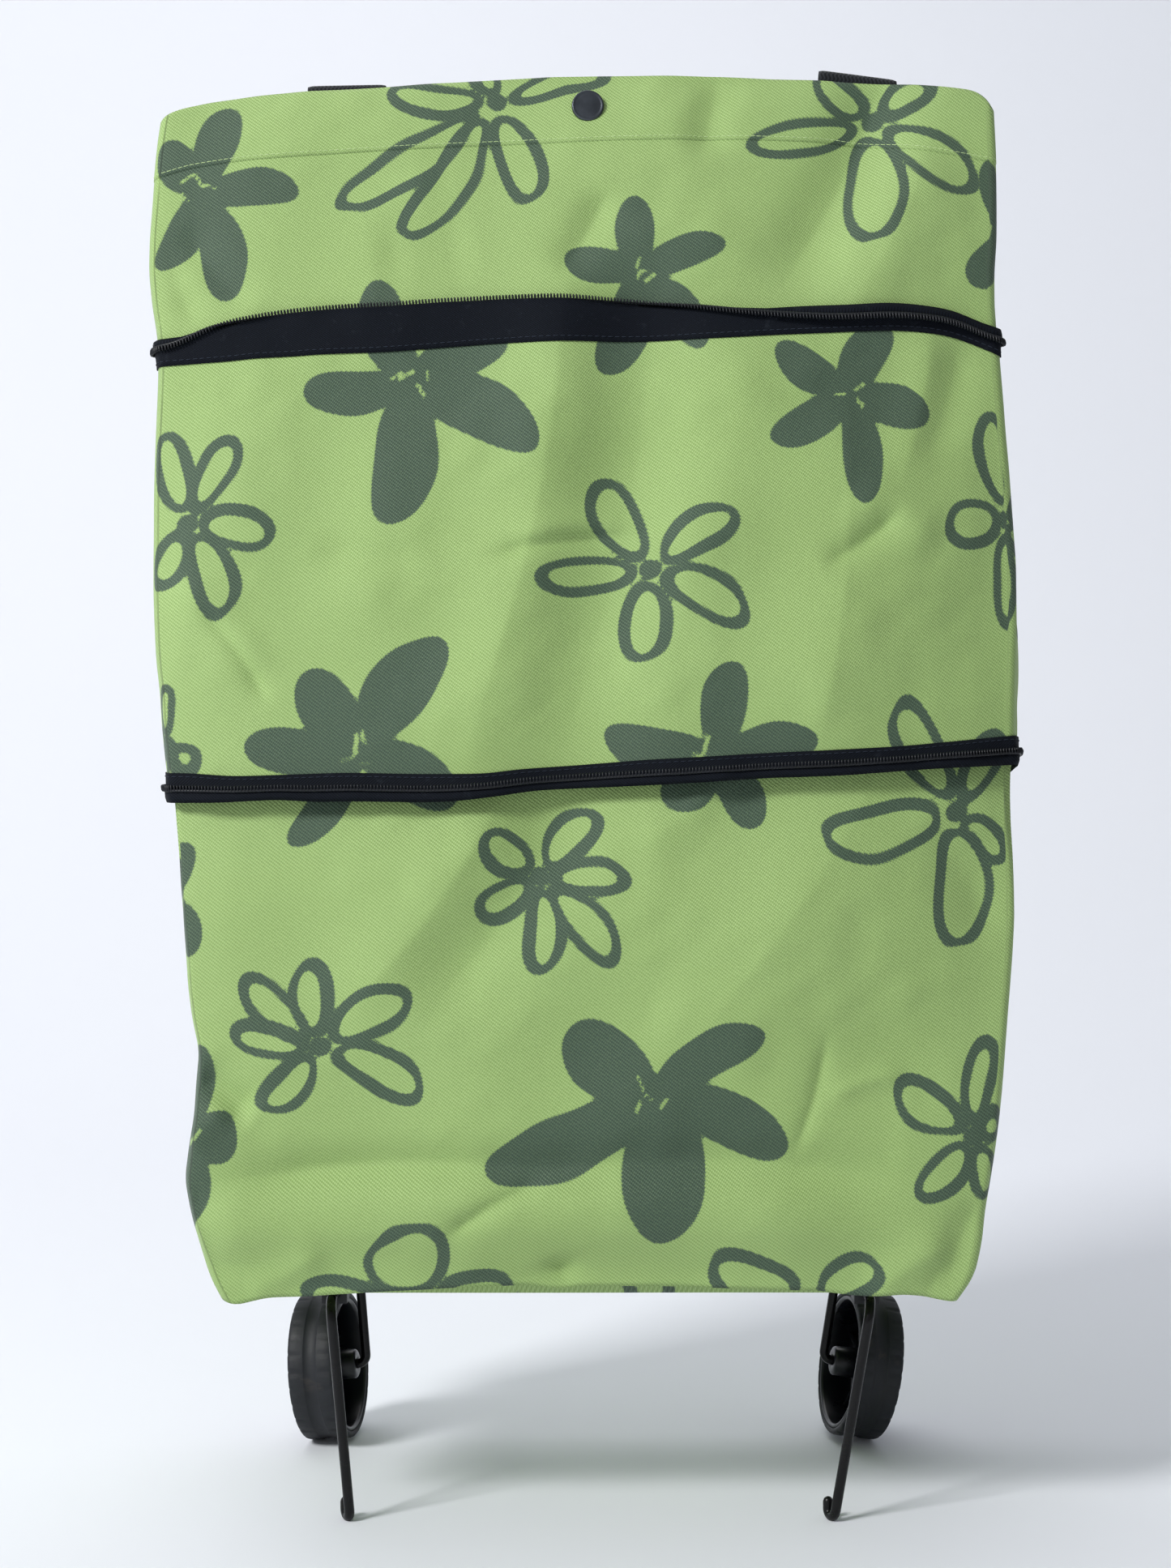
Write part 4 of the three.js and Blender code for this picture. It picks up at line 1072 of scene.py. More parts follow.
def flat_sheet(name, x0, x1, y0, y1, z0, z1, relief, nx=90, ny=48, r=10.0):
    """A flat closed sheet on a grid, its corners rounded by pulling the grid in."""
    u = np.linspace(-1, 1, nx)
    v = np.linspace(-1, 1, ny)
    U, V = np.meshgrid(u, v)
    hx, hy = (x1 - x0) / 2, (y1 - y0) / 2
    X, Y = U * hx, V * hy
    ex, ey = np.maximum(np.abs(X) - (hx - r), 0), np.maximum(np.abs(Y) - (hy - r), 0)
    d = np.hypot(ex, ey)
    m = np.maximum(ex, ey)
    k = np.where(d > 1e-6, m / np.maximum(d, 1e-6), 1.0)
    X = np.sign(X) * (np.minimum(np.abs(X), hx - r) + ex * k)
    Y = np.sign(Y) * (np.minimum(np.abs(Y), hy - r) + ey * k)
    X, Y = X + (x0 + x1) / 2, Y + (y0 + y1) / 2
    R = relief(X, Y)
    top = np.stack([X, Y, z1 + R], 2).reshape(-1, 3)
    bot = np.stack([X, Y, z0 + R], 2).reshape(-1, 3)
    n = nx * ny
    faces = grid_faces(ny, nx, False) + grid_faces(ny, nx, False, off=n, flip=True)
    ring = [i for i in range(nx)] + [r_ * nx + nx - 1 for r_ in range(1, ny)] + [(ny - 1) * nx + i for i in range(nx - 2, -1, -1)] + [r_ * nx for r_ in range(ny - 2, 0, -1)]
    for i in range(len(ring)):
        a, b = ring[i], ring[(i + 1) % len(ring)]
        faces.append((b, a, n + a, n + b))
    return np.concatenate([top, bot]), faces, X, Y


def under_relief(X, Y):
    return -0.5 + 0.25 * np.sin(X / 37.0 + Y / 23.0) * np.cos(Y / 31.0)


def tray(X, Y):
    """Level under the board, its margin turned up round the board's edge."""
    past = np.maximum.reduce([-161.6 - X, X - 156.6, -79.6 - Y, Y - 82.1])
    return np.minimum(0, under_relief(X, Y) * 0.3) + 4.6 * smooth01((past + 0.2) / 1.6)


vs, fs, X, Y = flat_sheet("base_bottom", -164.2, 159.2, -82.4, 84.4, 102.9, 103.7, tray, r=6, nx=150, ny=110)
nn = X.size
bottom_cloth = make("base_bottom_sheet", vs, fs, attrs={
    "print_sdf": np.concatenate([np.full(nn, 9.0), print_field(X.ravel() + 420, Y.ravel() + 300)]),
    "inner": np.concatenate([np.ones(nn), np.zeros(nn)])}, uv=np.concatenate([np.stack([X.ravel(), Y.ravel()], 1)] * 2) / 1000.0)
dress(bottom_cloth, MAT_CLOTH)
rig.ride(bottom_cloth, "base")
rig.replaces(bottom_cloth, "base_bottom_cloth")
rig.slot(bottom_cloth, "printed_cloth")


# --------------------------------------------------------------- stitching
def stitches_along(P_row, N_row, name, body, pitch=3.5, length=2.5, radius=0.26, lift=0.25, mat=None, closed=True, dz=0.0):
    """Short raised threads laid along a polyline on the cloth."""
    pts = np.asarray(P_row, float)
    nrm = np.asarray(N_row, float)
    if closed:
        pts, nrm = np.vstack([pts, pts[:1]]), np.vstack([nrm, nrm[:1]])
    seg = np.linalg.norm(np.diff(pts, axis=0), axis=1)
    s = np.concatenate([[0], np.cumsum(seg)])
    parts = Parts()
    k = 0.0
    at = lambda q: np.array([np.interp(q, s, pts[:, i]) for i in range(3)])
    nat = lambda q: np.array([np.interp(q, s, nrm[:, i]) for i in range(3)])
    while k + length < s[-1]:
        a, b = at(k), at(k + length)
        n = nat(k + length / 2)
        n /= np.linalg.norm(n)
        t = (b - a) / max(np.linalg.norm(b - a), 1e-9)
        c = np.cross(n, t)
        rings = []
        for f, rad_, up in ((0.0, 0.35, -0.35), (0.12, 0.9, 0.05), (0.5, 1.0, 0.25), (0.88, 0.9, 0.05), (1.0, 0.35, -0.35)):
            p = a + (b - a) * f + n * (lift + up * radius)
            rings.append([p + radius * rad_ * (math.cos(q) * c + math.sin(q) * n) for q in np.arange(6) / 6 * 2 * math.pi])
        parts.add(*sweep_rows(rings))
        k += pitch
    o = parts.make(name)
    dress(o, mat or MAT_THREAD)
    if body:
        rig.ride(o, body)
    return o


def row_at(z_line, out):
    Z = np.stack([z_line - 1.0, z_line, z_line + 1.0])
    P = bag_points(Z, out)
    return P[1], grid_normals(P)[1]


hp, hn = row_at(HEM_C + 1.9, 0.0)
hem_stitches = stitches_along(hp, hn, "hem_stitching", "mouth", pitch=2.7, length=2.2, radius=0.17, lift=0.06)
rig.slot(hem_stitches, "printed_cloth")


# --------------------------------------------------------------- zips
def half_columns(front):
    """Column indices of a stringer: half a side, a wall, half the other side."""
    idx = np.arange(NC)
    if front:
        left = idx[(CW == 3) & (CT >= 0.5)]
        corner_l = idx[CW == 13]
        wall = idx[CW == 0]
        corner_r = idx[CW == 10]
        right = idx[(CW == 1) & (CT <= 0.5)]
        return np.concatenate([left, corner_l, wall, corner_r, right])
    right = idx[(CW == 1) & (CT >= 0.5)]
    return np.concatenate([right, idx[CW == 11], idx[CW == 2], idx[CW == 12], idx[(CW == 3) & (CT <= 0.5)]])


def ribbon(name, cols, sections, body, replace, mat=MAT_TAPE, thick=0.55):
    """sections(k) -> list of (z, out) down the tape at each column; lofted with thickness."""
    npt = len(sections[0])
    Zs = np.array([[p[0] for p in sec] for sec in sections]).T          # npt x columns
    Os = np.array([[p[1] for p in sec] for sec in sections]).T
    rows = []
    for i in range(npt):
        Z = np.zeros(NC)
        Z[cols] = Zs[i]
        Z[Z == 0] = np.mean(Zs[i])
        base = bag_points(Z[None, :], 0.0)[0]
        up = bag_points(Z[None, :], 1.0)[0]
        n = up - base
        n /= np.maximum(np.linalg.norm(n, axis=1), 1e-9)[:, None]
        rows.append((base + n * 0.0)[cols] + n[cols] * Os[i][:, None])
    P = np.array(rows)                                                   # npt x columns x 3
    du = np.gradient(P, axis=1)
    dv = np.gradient(P, axis=0)
    N = np.cross(du, dv)
    N /= np.maximum(np.linalg.norm(N, axis=2), 1e-9)[..., None]
    A, B = P + N * thick / 2, P - N * thick / 2
    m, c = P.shape[:2]
    verts = np.concatenate([A.reshape(-1, 3), B.reshape(-1, 3)])
    n = m * c
    faces = grid_faces(m, c, False) + grid_faces(m, c, False, off=n, flip=True)
    ring = [i for i in range(c)] + [r * c + c - 1 for r in range(1, m)] + [(m - 1) * c + i for i in range(c - 2, -1, -1)] + [r * c for r in range(m - 2, 0, -1)]
    for i in range(len(ring)):
        a, b = ring[i], ring[(i + 1) % len(ring)]
        faces.append((b, a, n + a, n + b))
    s = np.concatenate([[0], np.cumsum(np.linalg.norm(np.diff(P[0], axis=0), axis=1))])
    v = np.concatenate([[0], np.cumsum(np.linalg.norm(np.diff(P[:, c // 2], axis=0), axis=1))])
    S, V = np.meshgrid(s, v)
    uv = np.concatenate([np.stack([S.ravel(), V.ravel()], 1)] * 2) / 1000.0
    o = make(name, verts, faces, uv=uv)
    dress(o, mat)
    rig.ride(o, body)
    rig.replaces(o, *replace)
    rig.slot(o, "zip_tape")
    return o, P, N


def coil_teeth(name, line, out_dir, up_dir, body, replace, pitch=1.45):
    """The nylon coil as a close row of rounded loops over a cord."""
    line = np.asarray(line)
    seg = np.linalg.norm(np.diff(line, axis=0), axis=1)
    s = np.concatenate([[0], np.cumsum(seg)])
    parts = Parts()
    n_teeth = int(s[-1] / pitch)
    for i in range(n_teeth):
        q = (i + 0.5) * pitch
        p = np.array([np.interp(q, s, line[:, k]) for k in range(3)])
        p2 = np.array([np.interp(q + 0.4, s, line[:, k]) for k in range(3)])
        t = (p2 - p) / max(np.linalg.norm(p2 - p), 1e-9)
        o_ = np.array([np.interp(q, s, out_dir[:, k]) for k in range(3)])
        u_ = np.array([np.interp(q, s, up_dir[:, k]) for k in range(3)])
        rings = []
        for f, w, h in ((-1.0, 0.26, 0.62), (-0.55, 0.44, 0.95), (0.45, 0.46, 1.05), (0.9, 0.42, 0.9), (1.15, 0.2, 0.5)):
            c = p + u_ * f * 1.35
            ring = []
            for a in np.arange(6) / 6 * 2 * math.pi + 0.5:
                ring.append(c + t * w * math.cos(a) * 1.15 + o_ * h * math.sin(a))
            rings.append(ring)
        parts.add(*sweep_rows(rings))
    cord = line + up_dir * (-0.9)
    parts.add(*tube(cord[::2], 0.62, 8))
    o = parts.make(name)
    dress(o, MAT_COIL)
    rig.ride(o, body)
    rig.replaces(o, replace)
    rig.slot(o, "zip_coil")
    return o


def stringer(which, front):
    cols = half_columns(front)
    lower = which == "lower"
    seam = LZ_C if lower else UZ_C
    x = np.clip(columns_x_at(seam)[cols], -196, 184)
    secs = []
    for i, c in enumerate(cols):
        xx = x[i]
        wall = CW[c]
        if front and not lower:
            z0 = float(seam[c])
            z1 = z0 + float(z_uzt(xx) - z_uz(xx))
            side = wall in (1, 3)
            f = float(smooth01((xx - 40) / 75.0)) if wall != 3 else 0.0
            if wall in (3, 13):
                f = 0.75
            if wall == 0 and xx < -170:
                f = float(smooth01((-xx - 170) / 26.0)) * 0.75
            h = z1 - z0
            a = [(z0 - 2.2, 0.75), (z0, 0.8), (z0 + 0.3 * h, 1.6), (z0 + 0.55 * h, 2.2), (z0 + 0.78 * h, 2.6), (z0 + 0.92 * h, 2.9), (z0 + h - 1.2, 3.1)]
            b = [(z0 - 2.2, 0.75), (z0, 0.9), (z0 + 0.5 * h, 2.0), (z0 + 0.86 * h, 2.8), (z0 + h, 3.6), (z0 + 0.82 * h, 4.3), (z0 + 0.50 * h, 4.5)]
        elif front:
            z0 = float(seam[c])
            z1 = z0 - float(z_lz(xx) - z_lzb(xx))
            h = z0 - z1
            f = 1.0
            a = b = [(z0 + 1.6, 0.75), (z0, 1.1), (z0 - 0.4 * h, 2.2), (z0 - 0.85 * h, 3.2), (z1, 4.0), (z1 + 0.16 * h, 4.7), (z0 - 0.52 * h, 4.6)]
        elif lower:
            z0 = float(LZ_C[c])
            f = 0.0
            a = b = [(z0 + 2.0, 0.75), (z0, 0.8), (z0 - 4, 1.3), (z0 - 8, 1.9), (z0 - 12, 2.6), (z0 - 15, 3.0), (z0 - 16.5, 3.1)]
        else:
            z0 = float(UZ_C[c])
            f = 0.0
            a = b = [(z0 - 2.0, 0.75), (z0, 0.8), (z0 + 4, 1.3), (z0 + 8, 1.9), (z0 + 12, 2.6), (z0 + 15, 3.0), (z0 + 16.5, 3.1)]
        tight = 1.0 if wall == 2 else (0.25 if wall in (1, 3) else 0.4)
        if wall == 0:
            tight = 0.45 + 0.55 * float(smooth01(min(CT[c], 1 - CT[c]) / 0.07))
        secs.append([(lerp(p[0], q[0], f), 0.75 + (lerp(p[1], q[1], f) - 0.75) * tight) for p, q in zip(a, b)])
    # ease the change of fold along the tape
    arr = np.array(secs)
    k = np.ones(7) / 7
    pad = np.pad(arr, ((3, 3), (0, 0), (0, 0)), mode="edge")
    arr = sum(pad[j:j + len(arr)] for j in range(7)) / 7
    secs = [[tuple(p) for p in sec] for sec in arr]
    side = "front" if front else "back"
    tape, P, N = ribbon(f"{which}_zip_tape_{side}_cloth", cols, secs, "mid", [f"{which}_zip_tape_{side}"])
    end, before = P[-1], P[-2]
    up = end - before
    up /= np.maximum(np.linalg.norm(up, axis=1), 1e-9)[:, None]
    nrm = N[-1]
    outward = end - np.array([np.mean(P[0, :, 0]), Y_BACK / 2, 0])
    sgn = np.where((nrm * outward).sum(1) < 0, -1.0, 1.0)[:, None]
    nrm = nrm * np.median(sgn)
    line = end + up * 0.6 + nrm * 0.7
    coil_teeth(f"{which}_zip_coil_{side}_teeth", line, nrm, up, "mid", f"{which}_zip_coil_{side}")
    return tape, P, N


zip_tapes = {}
for which in ("upper", "lower"):
    for front in (True, False):
        zip_tapes[which, front] = stringer(which, front)
    # one row of stitching through tape and cloth on the front and back
    for front in (True, False):
        tape, P, N = zip_tapes[which, front]
        n = N[1]
        n = n * np.sign(np.median((n * (P[1] - np.array([0, Y_BACK / 2, 0]))).sum(1)))
        o = stitches_along(P[1], n, f"{which}_zip_stitching_{'front' if front else 'back'}", "mid", pitch=3.2, length=2.3, radius=0.2, lift=0.42, mat=MAT_STRAPTHREAD, closed=False)
        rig.slot(o, "zip_tape")

# squash must come last for these two, once their meshes are final
TRAVEL_BASE, TRAVEL_TOP = 0.18, 0.075
Z_ANCHOR = (104.3 - 0.2) / 1000
H_BASE = (float(np.mean(LZ_C)) - 0.2) / 1000 - Z_ANCHOR
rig.squash(base_cloth, "base_section_tuck", axis=(0, 0, 1), anchor=(0, 0, Z_ANCHOR), keep=1 - TRAVEL_BASE / H_BASE)
Z_ANCHOR_T = (float(np.mean(UZ_C)) - 0.2) / 1000
H_TOP = (float(np.mean(HEM_C)) - 0.2) / 1000 - Z_ANCHOR_T
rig.squash(top_cloth, "top_section_tuck", axis=(0, 0, 1), anchor=(0, 0, Z_ANCHOR_T), keep=1 - TRAVEL_TOP / H_TOP)


# --------------------------------------------------------------- snap fastener
SNAP = np.array([-3.6, 0.0, 632.0])
slope = np.array([0.0, -1.0, LEAN])
slope /= np.linalg.norm(slope)
relief_here = float(relief_out(0, np.array([-3.6]), np.array([-3.6]), np.array([632.0]))[0])
snap_at = np.array([-3.6, y_front(632.0) - relief_here - 0.3, 632.0])
v, f = lathe([(0.0, 2.15), (3.6, 2.1), (5.6, 1.95), (6.2, 2.0), (6.7, 2.25), (7.05, 2.2), (7.35, 1.8), (7.5, 1.1), (7.4, 0.3), (6.6, 0.0), (2.0, 0.0), (1.8, -3.2), (0.0, -3.3)], slope, snap_at, 72)
o = make("snap_cap_shell", v, f)
dress(o, MAT_GUN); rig.ride(o, "mouth"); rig.replaces(o, "snap_cap"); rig.slot(o, "snap_metal")
v, f = lathe([(2.3, 0.0), (5.7, 0.0), (6.1, 0.4), (6.1, 1.6), (5.7, 2.6), (5.2, 2.7), (4.9, 2.3), (4.8, 1.2), (2.3, 1.1)], -slope, snap_at - slope * 3.0, 48)
o = make("snap_socket_ring", v, f)
dress(o, MAT_GUN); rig.ride(o, "mouth"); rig.replaces(o, "snap_socket"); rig.slot(o, "snap_metal")
v, f = lathe([(2.3, 0.0), (5.8, 0.0), (6.1, 0.4), (5.9, 1.0), (4.6, 1.2), (4.2, 1.7), (4.3, 3.0), (3.9, 3.6), (3.2, 3.8), (2.3, 3.6)], (0, -1, 0), (-3.6, Y_BACK - 3.0, 632.0), 48)
o = make("snap_stud_ring", v, f)
dress(o, MAT_GUN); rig.ride(o, "mouth"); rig.replaces(o, "snap_stud"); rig.slot(o, "snap_metal")
v, f = lathe([(0.0, 1.7), (3.8, 1.6), (4.8, 1.3), (5.4, 0.9), (5.5, 0.3), (5.0, 0.0), (1.9, 0.0), (1.8, -3.2), (0.0, -3.3)], (0, 1, 0), (-3.6, Y_BACK + 0.3, 632.0), 48)
o = make("snap_post_head", v, f)
dress(o, MAT_GUN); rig.ride(o, "mouth"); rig.replaces(o, "snap_post"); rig.slot(o, "snap_metal")

# --------------------------------------------------------------- handles
STRAP_X = (-121.0, 128.0)
SW, ST = 38.0, 1.6


def strap(name, centre, across, normal, body=None, width=SW, thick=ST, nacross=20):
    """A flat webbing strap: centre line, unit vectors across and out of its face."""
    centre, across, normal = (np.asarray(a, float) for a in (centre, across, normal))
    u = np.linspace(-1, 1, nacross)
    prof = thick / 2 * np.sqrt(np.clip(1 - np.abs(u) ** 14, 0.12, 1))
    rings = []
    for c, a, n in zip(centre, across, normal):
        top = [c + a * width / 2 * q + n * t for q, t in zip(u, prof)]
        bot = [c + a * width / 2 * q - n * t for q, t in zip(u[::-1], prof[::-1])]
        rings.append(top + bot)
    verts, faces = sweep_rows(rings)
    s = np.concatenate([[0], np.cumsum(np.linalg.norm(np.diff(centre, axis=0), axis=1))])
    ucoord = np.concatenate([u, u[::-1]]) * width / 2
    uv = np.stack([np.tile(ucoord, len(s)), np.repeat(s, 2 * nacross)], 1) / 1000.0
    o = make(name, verts, faces, uv=uv)
    dress(o, MAT_WEB)
    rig.slot(o, "webbing")
    if body:
        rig.ride(o, body)
    return o


def loop_path(z_top, y, drop, bow, n_straight=26, n_arc=60):
    cx = (STRAP_X[0] + STRAP_X[1]) / 2
    half = (STRAP_X[1] - STRAP_X[0]) / 2
    zc = z_top - drop + half + SW / 2
    pts, acr = [], []
    for k in range(n_straight):
        z = lerp(z_top, zc, k / n_straight)
        pts.append((cx - half, y, z)); acr.append((1, 0, 0))
    for k in range(n_arc + 1):
        a = math.pi + math.pi * k / n_arc
        pts.append((cx + half * math.cos(a), y, zc + half * math.sin(a)))
        acr.append((-math.cos(a), 0, -math.sin(a)))
    for k in range(1, n_straight + 1):
        z = lerp(zc, z_top, k / n_straight)
        pts.append((cx + half, y, z)); acr.append((-1, 0, 0))
    pts, acr = np.array(pts), np.array(acr, float)
    depth = np.clip((z_top - pts[:, 2]) / drop, 0, 1)
    wave = bow * (depth ** 1.6) + 0.9 * np.sin(np.arange(len(pts)) / 9.0) * smooth01(depth * 3)
    pts[:, 1] += wave * (1 if bow >= 0 else 1)
    # the webbing cants a little where it turns on its edge
    n = np.tile(np.array([0.0, 1.0, 0.0]), (len(pts), 1))
    cant = 0.22 * np.sin(np.clip(depth, 0, 1) * math.pi) * np.sign(pts[:, 0] - cx)
    n[:, 0] = cant
    n /= np.linalg.norm(n, axis=1)[:, None]
    acr = acr - n * (acr * n).sum(1)[:, None]
    acr /= np.linalg.norm(acr, axis=1)[:, None]
    return pts, acr, n


p, a, n = loop_path(648.0, 94.4, 263.0, 3.0)
rear_loop = strap("handle_rear_webbing", p, a, n, "handle_rear")
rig.replaces(rear_loop, "handle_rear")
p, a, n = loop_path(631.0, 28.8, 262.0, 4.0)
front_loop = strap("handle_front_webbing", p, a, n, "handle_front")
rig.replaces(front_loop, "handle_front")


def stitch_box(o_name, x, zlo, zhi, y_of, out_sign, body):
    """Box-and-cross stitching over a sewn strap end."""
    parts = Parts()
    w = SW / 2 - 4
    corners = [(-w, zlo), (w, zlo), (w, zhi), (-w, zhi)]
    lines = [(corners[i], corners[(i + 1) % 4]) for i in range(4)] + [(corners[0], corners[2]), (corners[1], corners[3])]
    for (xa, za), (xb, zb) in lines:
        L = math.hypot(xb - xa, zb - za)
        n_ = max(2, int(L / 3.0))
        for k in range(n_):
            t0, t1 = k / n_, (k + 0.74) / n_
            a_ = np.array([x + lerp(xa, xb, t0), 0, lerp(za, zb, t0)])
            b_ = np.array([x + lerp(xa, xb, t1), 0, lerp(za, zb, t1)])
            a_[1], b_[1] = y_of(a_[2]), y_of(b_[2])
            t = (b_ - a_) / np.linalg.norm(b_ - a_)
            nn_ = np.array([0.0, out_sign, 0.0])
            c = np.cross(nn_, t)
            rings = []
            for fr, rr_, up in ((0, .35, -.3), (0.15, .9, .1), (0.85, .9, .1), (1, .35, -.3)):
                q = a_ + (b_ - a_) * fr + nn_ * (0.12 + 0.25 * up)
                rings.append([q + 0.28 * rr_ * (math.cos(g) * c + math.sin(g) * nn_) for g in np.arange(6) / 6 * 2 * math.pi])
            parts.add(*sweep_rows(rings))
    o = parts.make(o_name)
    dress(o, MAT_STRAPTHREAD)
    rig.ride(o, body)
    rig.slot(o, "webbing")
    return o


for i, x in enumerate(STRAP_X):
    side = "right" if i else "left"
    # rear: sewn to the outside of the back hem, up and over to the hanging loop
    zt = (659.5, 664.5)[i]
    zs = np.linspace(618, 652, 16)
    c = np.stack([np.full(16, x), np.full(16, 86.6), zs], 1)
    o = strap(f"handle_rear_end_{side}_webbing", c, np.tile([1.0, 0, 0], (16, 1)), np.tile([0, 1.0, 0], (16, 1)), "mouth")
    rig.replaces(o, f"handle_rear_end_{side}")
    stitch_box(f"handle_rear_stitching_{side}", x, 620.5, 642, lambda z: 86.6 + 0.86, 1.0, "mouth")
    tilt = (0.0, 4.0)[i]
    pts, nrm = [], []
    r = 3.9
    zc = zt - r - 1.0
    for k in range(8):
        pts.append((x, 86.6, lerp(650.5, zc, k / 8))); nrm.append((0, 1, 0))
    for k in range(17):
        g = math.pi - math.pi * k / 16
        pts.append((x, 86.6 + r + r * math.cos(g), zc + r * math.sin(g)))
        nrm.append((0, -math.cos(g) * -1.0, -math.sin(g)))
    for k in range(1, 9):
        pts.append((x, 94.4, lerp(zc, 646.5, k / 8))); nrm.append((0, -1, 0))
    pts, nrm = np.array(pts, float), np.array(nrm, float)
    tang = np.gradient(pts, axis=0)
    nrm = np.cross(np.tile([1.0, 0, 0], (len(pts), 1)), tang)
    nrm /= np.linalg.norm(nrm, axis=1)[:, None]
    cant = (0.02, -0.13)[i] * np.sin(np.linspace(0, math.pi, len(pts)))
    acr = np.stack([np.ones(len(pts)), np.zeros(len(pts)), cant], 1)
    acr /= np.linalg.norm(acr, axis=1)[:, None]
    nrm = nrm - acr * (nrm * acr).sum(1)[:, None]
    nrm /= np.linalg.norm(nrm, axis=1)[:, None]
    o = strap(f"handle_rear_bend_{side}", pts, acr, nrm)
    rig.blend(o, "mouth", "handle_rear", tuple(W((x, 87.4, 655))), tuple(W((x, 93.6, 655))))
    # front: sewn inside the front hem, over a short bend, hanging inside
    def yz(z, x_=x):
        z = np.atleast_1d(np.asarray(z, float))
        xs = np.linspace(x_ - 20, x_ + 20, 15)[:, None] + 0 * z[None, :]
        return np.max(y_front(z)[None, :] - relief_out(0, xs, xs, z[None, :] + 0 * xs), axis=0) + 3.0

    zs = np.linspace(612, 636, 14)
    c = np.stack([np.full(14, x), yz(zs), zs], 1)
    nrm = np.tile(-slope, (14, 1))
    o = strap(f"handle_front_end_{side}_webbing", c, np.tile([1.0, 0, 0], (14, 1)), nrm, "mouth")
    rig.replaces(o, f"handle_front_end_{side}")
    pts = []
    y0, y1 = float(yz(634.0)[0]), 28.8
    r = (y1 - y0) / 2
    for k in range(5):
        pts.append((x, y0, lerp(632.0, 634.0, k / 5)))
    for k in range(15):
        g = math.pi - math.pi * k / 14
        pts.append((x, (y0 + y1) / 2 + r * math.cos(g), 634.0 + r * math.sin(g) * 0.8))
    for k in range(1, 7):
        pts.append((x, y1, lerp(634.0, 628.0, k / 6)))
    pts = np.array(pts, float)
    tang = np.gradient(pts, axis=0)
    nrm = np.cross(np.tile([1.0, 0, 0], (len(pts), 1)), tang)
    nrm /= np.linalg.norm(nrm, axis=1)[:, None]
    o = strap(f"handle_front_bend_{side}", pts, np.tile([1.0, 0, 0], (len(pts), 1)), nrm)
    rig.blend(o, "mouth", "handle_front", tuple(W((x, y0 + 0.6, 637))), tuple(W((x, 28.2, 637))))


# --------------------------------------------------------------- frames, wheels
ROD_Z, FOOT_Y, AXLE_Y, WIRE_R = 96.5, -70.0, 70.0, 2.25
WHEEL_R, WHEEL_W, TYRE_T, OFF, TOE = 35.0, 22.0, 3.0, 19.0, 9.5
FRAMES = (("left", -1.0, -116.0, 5.1), ("right", 1.0, 120.0, 9.6))


def bez(p0, c, p1, n=10):
    k = 0.5523
    a, b = p0 + (c - p0) * k, p1 + (c - p1) * k
    t = np.linspace(0, 1, n + 1)[1:, None]
    return (1 - t) ** 3 * p0 + 3 * (1 - t) ** 2 * t * a + 3 * (1 - t) * t ** 2 * b + t ** 3 * p1


def line_pts(p0, p1, step=3.0):
    n = max(1, int(np.linalg.norm(p1 - p0) / step))
    return p0 + (p1 - p0) * (np.arange(1, n + 1) / n)[:, None]


